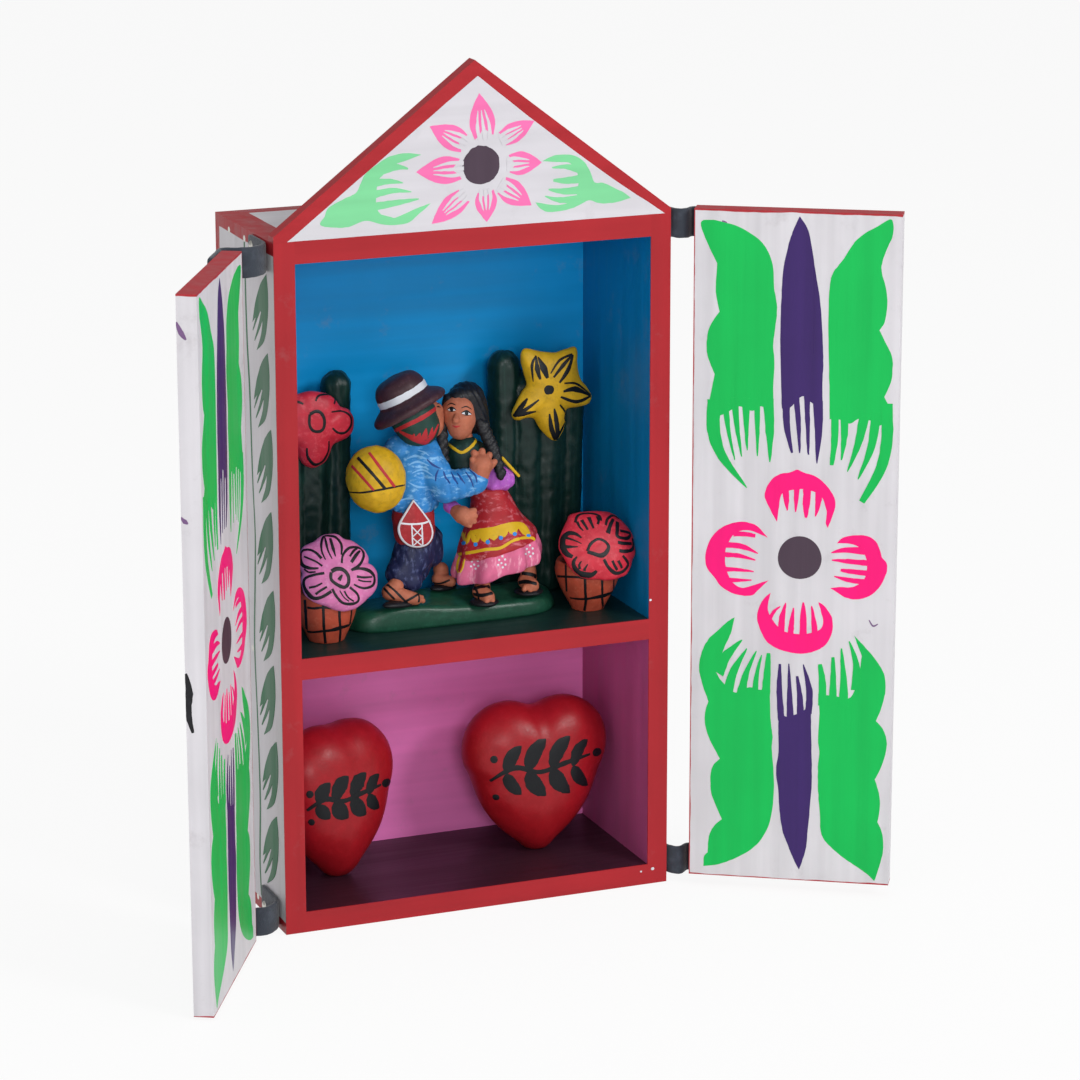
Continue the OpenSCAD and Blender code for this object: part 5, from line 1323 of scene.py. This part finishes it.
# where the ray through a place in a view meets a flower's own plane, mm
def onPlane(x, y, view, point, normal):
    ray = pixelRay(view["left"] + x / view["scale"], view["top"] + y / view["scale"])
    eye = cameraAt / mm
    return eye + ray * ((point - eye).dot(normal) / ray.dot(normal))


def cactusForm(name, columns):
    def rib(p):
        near = min(columns, key=lambda c: math.hypot(p.x - c[0], p.y - garden["cactusDepth"]) - c[1])
        turn = math.atan2(p.y - garden["cactusDepth"], p.x - near[0])
        return garden["ribDepth"] * math.cos(garden["ribs"] * turn + near[0])
    lumps = []
    for x, r, h in columns:
        foot = Vector((x, garden["cactusDepth"], shelfTop + r * 0.6))
        top = Vector((x, garden["cactusDepth"], shelfTop + h - r))
        lumps.append([Vector((v.x, v.y, max(v.z, shelfTop))) for v in limb(foot, top, r * 0.72, r)])
    return clayForm(name, lumps, clay["cactus"], voxel=0.7, lumpy=0.35, shape=rib)


def bloomForm(name, outline, view, middle, tilt, thick, material, sharp=0.6, dimple=0.0):
    a = math.radians(tilt)
    normal = Vector((0, -math.cos(a), math.sin(a)))
    middle = Vector(middle)
    rim = [onPlane(x, y, view, middle, normal) for x, y in smoothLine(outline, True, steps=6)]
    n = len(rim)
    centre = sum(rim, Vector()) / n
    levels = [(0.8, -0.30), (0.93, -0.26), (0.985, -0.14), (1.0, 0.0)]
    levels += [
        (s, (1 - s ** 2.4) ** sharp - dimple * (1 - s) ** 2)
        for s in (0.985, 0.95, 0.9, 0.83, 0.74, 0.63, 0.5, 0.37, 0.24, 0.12)]
    verts = [centre + (p - centre) * s + normal * (h * thick) for s, h in levels for p in rim]
    verts.append(centre + normal * ((1 - dimple) * thick))
    last = (len(levels) - 1) * n
    faces = ringFaces(len(levels), n, topCap=False) + [
        (last + i, last + (i + 1) % n, len(verts) - 1) for i in range(n)]
    piece = newPiece(name, [v * mm for v in verts], faces, material, "case")
    outwardFaces(piece.data)
    softened = worked(piece.data, "SMOOTH", factor=0.5, iterations=2)
    pressed(softened, lambda p: 0.18 * noise.noise(p * 0.4))
    softened.polygons.foreach_set("use_smooth", [True] * len(softened.polygons))
    piece.data = softened
    return piece


cactusLeft = cactusForm("cactusLeft", garden["left"])
cactusRight = cactusForm("cactusRight", garden["right"])
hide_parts("cactus_left")
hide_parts("cactus_right")

star = bloomForm("yellowStarFlower", [
    (470, 150), (560, 172), (690, 182), (780, 158), (858, 136), (886, 165), (884, 260), (905, 385),
    (965, 470), (1002, 545), (975, 610), (880, 635), (792, 652), (785, 760), (740, 880), (700, 914),
    (635, 880), (560, 795), (520, 730), (450, 728), (378, 745), (340, 700), (385, 590), (430, 510),
    (466, 440), (435, 330), (415, 220), (430, 165)], starView, (40.2, 8.6, 166), 0, 4.6, clay["yellow"])
starTree = treeOf(star)
brushOn("starFlowerLines", starTree, [
    ([(545, 212), (512, 290), (522, 425)], [0.5, 1.1, 0.3]),
    ([(545, 212), (556, 320), (580, 408)], [0.4, 1.7, 0.7]),
    ([(560, 222), (606, 310), (640, 398)], [0.4, 2.6, 1.0]),
    ([(845, 200), (740, 250), (665, 360)], [0.9, 0.9, 0.4]),
    ([(845, 205), (770, 290), (690, 392)], [0.4, 1.4, 0.6]),
    ([(850, 205), (810, 330), (738, 436)], [0.5, 1.7, 0.7]),
    ([(778, 440), (880, 445), (996, 535)], [0.5, 0.9, 0.7]),
    ([(770, 508), (870, 488), (990, 540)], [0.6, 2.0, 0.6]),
    ([(748, 552), (880, 592), (996, 545)], [0.7, 1.5, 0.8]),
    ([(740, 615), (796, 720), (712, 905)], [0.5, 1.2, 1.4]),
    ([(695, 648), (712, 740), (728, 870)], [0.5, 1.6, 1.8]),
    ([(656, 690), (672, 810), (706, 905)], [0.5, 1.7, 1.3]),
    ([(360, 712), (420, 640), (475, 565)], [1.0, 1.9, 0.6]),
    ([(370, 705), (470, 650), (570, 575)], [0.9, 1.3, 0.5]),
    ([(362, 712), (440, 694), (545, 672)], [0.6, 1.6, 0.6])], clay["line"], view=starView)
brushOn("starFlowerEye", starTree, [dot(652, 494, 3.4, starView)], clay["line"], view=starView, lift=0.14)
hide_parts("star_flower")

bloom = bloomForm("redFlowerOnCactus", [
    (-60, 60), (30, -40), (120, -60), (240, -90), (400, -70), (480, -20), (540, 60), (620, 90),
    (665, 160), (672, 250), (640, 335), (560, 390), (470, 430), (430, 520), (380, 610), (280, 665),
    (190, 640), (130, 560), (90, 470), (0, 440), (-90, 360), (-120, 200)], bloomView, (-43, 8.6, 162.5),
    0, 4.6, clay["blossomRed"], 0.5)
bloomTree = treeOf(bloom)
brushOn("redFlowerOnCactusLines", bloomTree, [
    (
        [(245, 140), (300, 112), (350, 125), (385, 190), (380, 270), (340, 308), (275, 300), (240, 240),
            (242, 140)],
        [1.2, 0.9]),
    ([(455, 118), (560, 110), (640, 160), (645, 250), (590, 318), (520, 320), (465, 275)],
        [0.5, 1.1, 0.6]),
    ([(215, 470), (225, 560), (290, 632), (370, 600), (425, 500), (430, 400)], [0.6, 1.4, 0.6]),
    ([(480, 40), (490, 0), (470, -40), (400, -55), (330, -40), (300, 10)], [0.6, 1.0, 0.6]),
    ([(120, 410), (60, 400), (10, 330), (20, 250)], [0.6, 1.0, 0.6]),
    ([(60, 60), (120, 20), (180, 40)], [0.6, 1.0, 0.6])], clay["line"], view=bloomView)
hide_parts("red_flower_left")

pinkBloom = bloomForm("pinkBasketFlower", [
    (560, 45), (640, 62), (700, 105), (790, 125), (880, 180), (960, 250), (1005, 340), (1008, 410),
    (1060, 440), (1112, 530), (1115, 640), (1085, 740), (1000, 830), (905, 910), (830, 960), (700, 985),
    (580, 960), (480, 915), (360, 875), (250, 800), (205, 700), (185, 600), (200, 520), (172, 440),
    (165, 330), (200, 220), (290, 165), (360, 130), (440, 65)], pinkView, (-46.5, -18, 113.4), 30, 4.6,
    clay["blossom"], 0.55)
pinkTree = treeOf(pinkBloom)
brushOn("pinkFlowerLines", pinkTree, [
    ([(490, 360), (445, 260), (440, 150), (470, 80), (545, 70), (620, 95), (680, 180), (680, 300)],
        [0.4, 0.9, 1.4, 0.6]),
    ([(570, 350), (520, 250), (490, 130), (480, 90)], [0.3, 0.8, 0.5]),
    ([(610, 320), (580, 220), (545, 100)], [0.3, 1.0, 0.9]),
    ([(685, 400), (700, 300), (780, 215), (900, 220), (950, 300), (900, 420), (800, 485)],
        [0.7, 1.1, 0.9]),
    ([(780, 320), (830, 250), (870, 225)], [0.7, 0.9, 0.6]),
    ([(800, 390), (860, 300), (905, 250)], [1.1, 1.1, 0.6]),
    (
        [(800, 485), (900, 465), (1010, 490), (1075, 560), (1065, 660), (980, 700), (900, 690),
            (830, 655)],
        [0.6, 1.4, 0.9, 0.6]),
    ([(865, 560), (950, 572), (1050, 565)], [0.9, 0.6]), ([(880, 600), (950, 620), (1040, 622)], [0.5]),
    ([(570, 710), (620, 800), (700, 880), (820, 890), (885, 850), (870, 770), (780, 690)],
        [0.8, 1.0, 0.8]),
    ([(660, 730), (710, 810), (770, 860)], [0.4]), ([(715, 735), (760, 810), (830, 860)], [0.6, 0.5]),
    ([(475, 520), (360, 540), (250, 580), (225, 650), (260, 740), (340, 820), (440, 810), (560, 740)],
        [0.9, 1.0, 1.5, 0.9]),
    ([(290, 695), (370, 680), (450, 640)], [0.8, 0.6]),
    ([(370, 775), (430, 730), (505, 685)], [0.9, 0.7]),
    ([(440, 345), (380, 280), (300, 240), (215, 250), (185, 330), (210, 420), (300, 460), (405, 462)],
        [1.0, 0.8, 1.4, 0.6]),
    ([(450, 435), (370, 380), (230, 320)], [0.7, 0.6]), ([(230, 470), (290, 510), (370, 505)], [0.6]),
    (
        [(560, 500), (620, 470), (700, 480), (760, 550), (765, 640), (720, 690), (640, 665), (560, 600),
            (555, 510)],
        [1.4, 1.0]),
    ([(650, 605), (672, 570), (690, 540)], [1.4, 1.0, 0.4])], clay["line"], view=pinkView)
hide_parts("pink_flower")

redBloom = bloomForm("redBasketFlower", [
    (520, 10), (560, -60), (700, -95), (860, -100), (1000, -85), (1080, -40), (1150, 20), (1205, 90),
    (1255, 160), (1275, 270), (1290, 370), (1262, 450), (1235, 540), (1180, 620), (1080, 662), (960, 680),
    (860, 670), (720, 660), (620, 600), (545, 520), (500, 440), (440, 340), (432, 240), (460, 130)],
    basketView, (46.5, -18.2, 114), 30, 4.6, clay["blossomRed"], 0.55)
redTree = treeOf(redBloom)
brushOn("redFlowerLines", redTree, [
    (
        [(755, 350), (790, 270), (870, 215), (950, 240), (992, 300), (960, 370), (900, 398), (820, 375),
            (755, 355)],
        [1.1, 0.9, 1.6, 1.2]),
    ([(690, 200), (620, 155), (540, 150), (480, 210), (475, 300), (520, 375), (590, 412)],
        [0.6, 1.6, 2.6, 1.2]),
    ([(520, 200), (600, 225), (690, 265)], [1.0, 0.6, 0.3]),
    ([(515, 300), (580, 300), (650, 300)], [1.2, 0.8, 0.3]),
    ([(640, 410), (600, 470), (620, 550), (700, 610), (800, 615), (860, 570)], [0.5, 1.6, 2.4, 1.0]),
    ([(690, 460), (665, 500), (670, 550)], [0.4, 1.0]),
    ([(760, 495), (730, 540), (720, 570)], [0.4, 1.1]),
    ([(940, 440), (990, 530), (1070, 595), (1160, 570), (1210, 490), (1150, 400)], [1.0, 1.3, 1.0]),
    ([(1035, 455), (1060, 510), (1090, 560)], [1.0, 0.9]),
    ([(1100, 455), (1130, 510), (1140, 540)], [1.1, 0.8]),
    ([(1090, 20), (1090, 110), (1095, 185), (1200, 205), (1230, 150), (1120, 120)], [1.4, 1.2, 1.1]),
    ([(1095, 250), (1160, 262), (1250, 265)], [1.1]),
    ([(1110, 345), (1190, 350), (1262, 320), (1262, 210)], [1.2]),
    ([(640, 20), (670, 80), (710, 120)], [1.0, 0.5]), ([(690, 0), (730, 60), (760, 110)], [1.2, 0.7]),
    ([(770, -30), (800, 40), (825, 95)], [1.4, 0.7]), ([(860, -40), (880, 10), (870, 50)], [0.9]),
    ([(620, 30), (650, -50), (760, -75), (880, -50), (905, 10)], [1.0]),
    ([(985, 150), (1010, 60), (1045, -10)], [1.5, 1.1]),
    ([(960, 60), (980, -10), (1040, -50), (1110, -10)], [0.9])], clay["line"], view=basketView)
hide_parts("red_flower_right")


def basketForm(name, x, y, radius, foot, height):
    profile = smoothLine([(foot - 1.2, 0, 1), (foot - 0.2, 0.1), (foot + 0.4, 1.2),
        ((foot + radius) / 2 + 0.9, height * 0.42), (radius, height * 0.72),
        (radius - 0.2, height * 0.92), (radius - 1.0, height), (radius - 2.2, height - 0.5),
        (radius - 3, height - 2.4, 1)], steps=4)
    verts, count = [], 56
    for r, h in profile:
        for i in range(count):
            a = 2 * math.pi * i / count
            w = 1 + 0.02 * noise.noise(Vector((math.cos(a) * 1.5 + x, math.sin(a) * 1.5, h * 0.15)))
            verts.append(Vector((x + r * w * math.cos(a), y + r * w * math.sin(a), shelfTop + h)) * mm)
    piece = newPiece(name, verts, ringFaces(len(profile), count), clay["terracotta"], "case")
    outwardFaces(piece.data)
    return piece


basketLeft = basketForm("basketLeft", *garden["basketLeft"])
basketRight = basketForm("basketRight", *garden["basketRight"])
brushOn("basketLeftLines", treeOf(basketLeft), [
    ([(460, 900), (466, 1050), (470, 1180), (488, 1365)], [0.9]),
    ([(655, 940), (658, 1060), (668, 1200), (660, 1345)], [0.9]),
    ([(806, 940), (796, 1050), (776, 1150)], [0.9]), ([(240, 840), (250, 1000), (262, 1200)], [1.2]),
    ([(270, 1225), (340, 1232), (450, 1220), (560, 1208), (650, 1185), (720, 1165), (830, 1130)],
        [0.8, 0.9, 1.7, 0.8]),
    ([(270, 935), (350, 945), (450, 935), (560, 940)], [0.8])], clay["line"], view=pinkView)
brushOn("basketRightLines", treeOf(basketRight), [
    ([(512, 480), (515, 640), (522, 800)], [0.9]),
    ([(728, 620), (732, 800), (738, 900), (722, 1015)], [0.9]),
    ([(918, 620), (922, 800), (920, 880), (935, 1000)], [0.9]),
    ([(1052, 620), (1048, 760), (1040, 840)], [0.8]),
    ([(395, 628), (500, 634), (640, 640), (760, 655)], [0.8]),
    ([(565, 872), (640, 882), (740, 884), (850, 865), (960, 840), (1055, 800)],
        [0.8, 1.0, 1.0, 1.9, 1.2])], clay["line"], view=basketView)
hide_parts("basket_left")
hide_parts("basket_right")

# the couple's ground: a pressed slab with a wandering edge
verts, count = [], 120
for share, h in ((0.9, 0.0), (0.985, 0.0), (1.0, 0.15), (0.995, 0.4), (0.98, 0.66), (0.95, 0.86),
        (0.9, 0.96), (0.8, 0.995), (0.6, 1.0), (0.4, 1.0), (0.2, 1.0), (0.05, 1.0)):
    for i in range(count):
        a = 2 * math.pi * i / count
        c, d = math.cos(a), math.sin(a)
        w = share * (1 + 0.025 * math.sin(5 * a) + 0.02 * math.cos(3 * a)) / 1.045
        spot = Vector((math.copysign(abs(c) ** 0.55, c) * garden["groundWidth"] / 2 * w,
            garden["groundDeep"] + math.copysign(abs(d) ** 0.7, d) * garden["groundDepth"] / 2 * w, 0))
        rise = sum(up * math.exp(-((spot.x - mx) / wx) ** 2 - ((spot.y - my) / wy) ** 2)
            for mx, my, up, wx, wy in garden["mounds"])
        spot.z = shelfTop + h * garden["groundHeight"] + h * h * rise - (
            0.35 * abs(noise.noise(spot * 0.18)) if h > 0.3 else 0)
        verts.append(spot * mm)
ground = newPiece("greenGround", verts, ringFaces(len(verts) // count, count), clay["grass"], "case")
outwardFaces(ground.data)
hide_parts("ground")
print("garden modelled")

# hearts: puffed clay, two round lobes and a blunt tip, painted satin red with a black sprig
hearts = {
    "left": {"node": "heart_left", "x": -39.5, "width": 44, "turn": 18},
    "right": {"node": "heart_right", "x": 32.5, "width": 52, "turn": 0},
    "height": 54, "thick": 26, "depth": 2, "lobe": 16, "tip": 6.5, "belly": 3.2,
}


def heartOutline(w, h):
    lobe, tip = hearts["lobe"], hearts["tip"]
    gap, lobeZ, tipZ = w / 2 - lobe, h / 2 - lobe, -h / 2 + tip
    rise = math.atan2(lobeZ - tipZ, gap)
    slant = math.asin((lobe - tip) / math.hypot(gap, lobeZ - tipZ))
    lean = math.pi / 2 - rise + slant
    notch = math.acos(-gap / lobe) - 0.14
    half = [
        (gap + lobe * math.cos(a), lobeZ + lobe * math.sin(a))
        for a in (notch - i * (notch + lean) / 40 for i in range(41))]
    side = ((gap + lobe * math.cos(lean), lobeZ - lobe * math.sin(lean)),
        (tip * math.cos(lean), tipZ - tip * math.sin(lean)))
    for i in range(1, 12):
        t = i / 12
        out = hearts["belly"] * math.sin(math.pi * i / 12)
        half.append((side[0][0] + (side[1][0] - side[0][0]) * t + out * math.cos(lean),
                     side[0][1] + (side[1][1] - side[0][1]) * t - out * math.sin(lean)))
    half += [
        (tip * math.cos(a), tipZ - tip * math.sin(a))
        for a in (lean + i * (math.pi / 2 - lean) / 8 for i in range(9))]
    return half + [(-x, z) for x, z in half[-2::-1]]


def heartForm(name, facts):
    w, h = facts["width"], hearts["height"]
    outline = heartOutline(w, h)
    foot = -h / 2 + 1
    n, verts = len(outline), []
    spin = Matrix.Rotation(math.radians(facts["turn"]), 3, "Z")
    origin = Vector((facts["x"], hearts["depth"], case["board"] + h / 2 - 1))
    levels = [(-86 + 172 * i / 43) for i in range(44)]
    for level in levels:
        s = math.cos(math.radians(level)) ** 0.75
        y = hearts["thick"] / 2 * math.sin(math.radians(level))
        for x, z in outline:
            spot = Vector((x * s, y, max(foot, z * s + (1 - s) * 0.06 * h)))
            lump = 0.25 * noise.noise(spot * 0.16 + Vector((facts["x"], 0, 0)))
            push = Vector((lump, lump, 0 if spot.z <= foot + 0.5 else lump * 0.6))
            verts.append((origin + spin @ (spot + push)) * mm)
    piece = newPiece(name, verts, ringFaces(len(levels), n), clay["heart"], "case")
    outwardFaces(piece.data)
    piece.data = worked(piece.data, "SMOOTH", factor=0.5, iterations=4)
    piece.data.polygons.foreach_set("use_smooth", [True] * len(piece.data.polygons))
    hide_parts(facts["node"])
    return piece


def sprig(cx, cy, wide, tilt=0.0):  # a bold lying sprig with paired leaves and berries, in picture pixels
    def spot(x, y):
        return cx + x * wide, cy + y * wide - tilt * x * wide

    strokes = [
        ([spot(-0.5, 0.07), spot(-0.25, -0.03), spot(0, 0.04), spot(0.25, -0.02), spot(0.5, -0.08)],
            [1.0, 1.9, 1.6, 1.9, 0.8])]
    for x, size in ((-0.34, 0.9), (-0.12, 1.05), (0.12, 1.05), (0.33, 0.85)):
        for way in (-1, 1):
            strokes.append((
                [spot(x, 0.02), spot(x + 0.06 * size, way * 0.15 * size),
                    spot(x + 0.17 * size, way * 0.27 * size)],
                [0.8, 3.9 * size, 5.3 * size, 5.2 * size, 3.4 * size, 0.3]))
    strokes += [dot(*spot(x, y), size, whole) for x, y, size in (
        (-0.46, -0.14, 2.6), (-0.44, 0.24, 2.4), (0.57, -0.09, 3.0))]
    return strokes


heartLeft = heartForm("clayHeartLeft", hearts["left"])
heartRight = heartForm("clayHeartRight", hearts["right"])
brushOn("heartSprigRight", treeOf(heartRight), sprig(540, 768, 100, 0.12), clay["line"], view=whole,
    lift=0.12, steps=10)
brushOn("heartSprigLeft", treeOf(heartLeft), sprig(344, 798, 74, 0.2), clay["line"], view=whole,
    lift=0.12, steps=10)
print("hearts modelled")

# handling marks on the doors, in picture pixels
wear = {
    "left": [([(176, 322), (181, 333), (186, 340)], [0.6, 1.8, 0.5]),
        ([(178, 512), (183, 520), (188, 524)], [0.5, 1.5, 0.4])],
    "leftDark": [([(184, 668), (189, 690), (188, 712), (193, 733)], [1.0, 2.6, 2.2, 0.8])],
    "right": [([(709, 223), (713, 228)], [0.5, 0.9, 0.4]), ([(722, 221), (727, 223)], [0.5, 0.8, 0.4]),
        ([(706, 858), (713, 861)], [0.5, 1.0, 0.4]), ([(885, 225), (890, 228)], [0.5, 0.9, 0.4]),
        ([(869, 620), (873, 626), (878, 624)], [0.3, 0.6, 0.3])],
}
leftDoorTree = treeOf(nodes["door_left"])
rightDoorTree = treeOf(nodes["door_right"])
brushOn("leftDoorSmears", leftDoorTree, wear["left"], clay["smear"], "left_door", whole, 0.04)
brushOn("leftDoorEdgeBlob", leftDoorTree, wear["leftDark"], clay["black"], "left_door", whole, 0.04)
brushOn("rightDoorSmears", rightDoorTree, wear["right"], clay["smear"], "right_door", whole, 0.04)

brushOn("frameChips", treeOf(nodes["side_right"], nodes["bottom_board"]),
    [dot(652.6, 868.6, 1.1, whole), dot(641, 871.5, 0.7, whole), dot(650.5, 600, 0.8, whole)],
    clay["white"], "case", whole, 0.05)

bpy.data.scenes.remove(workshop)
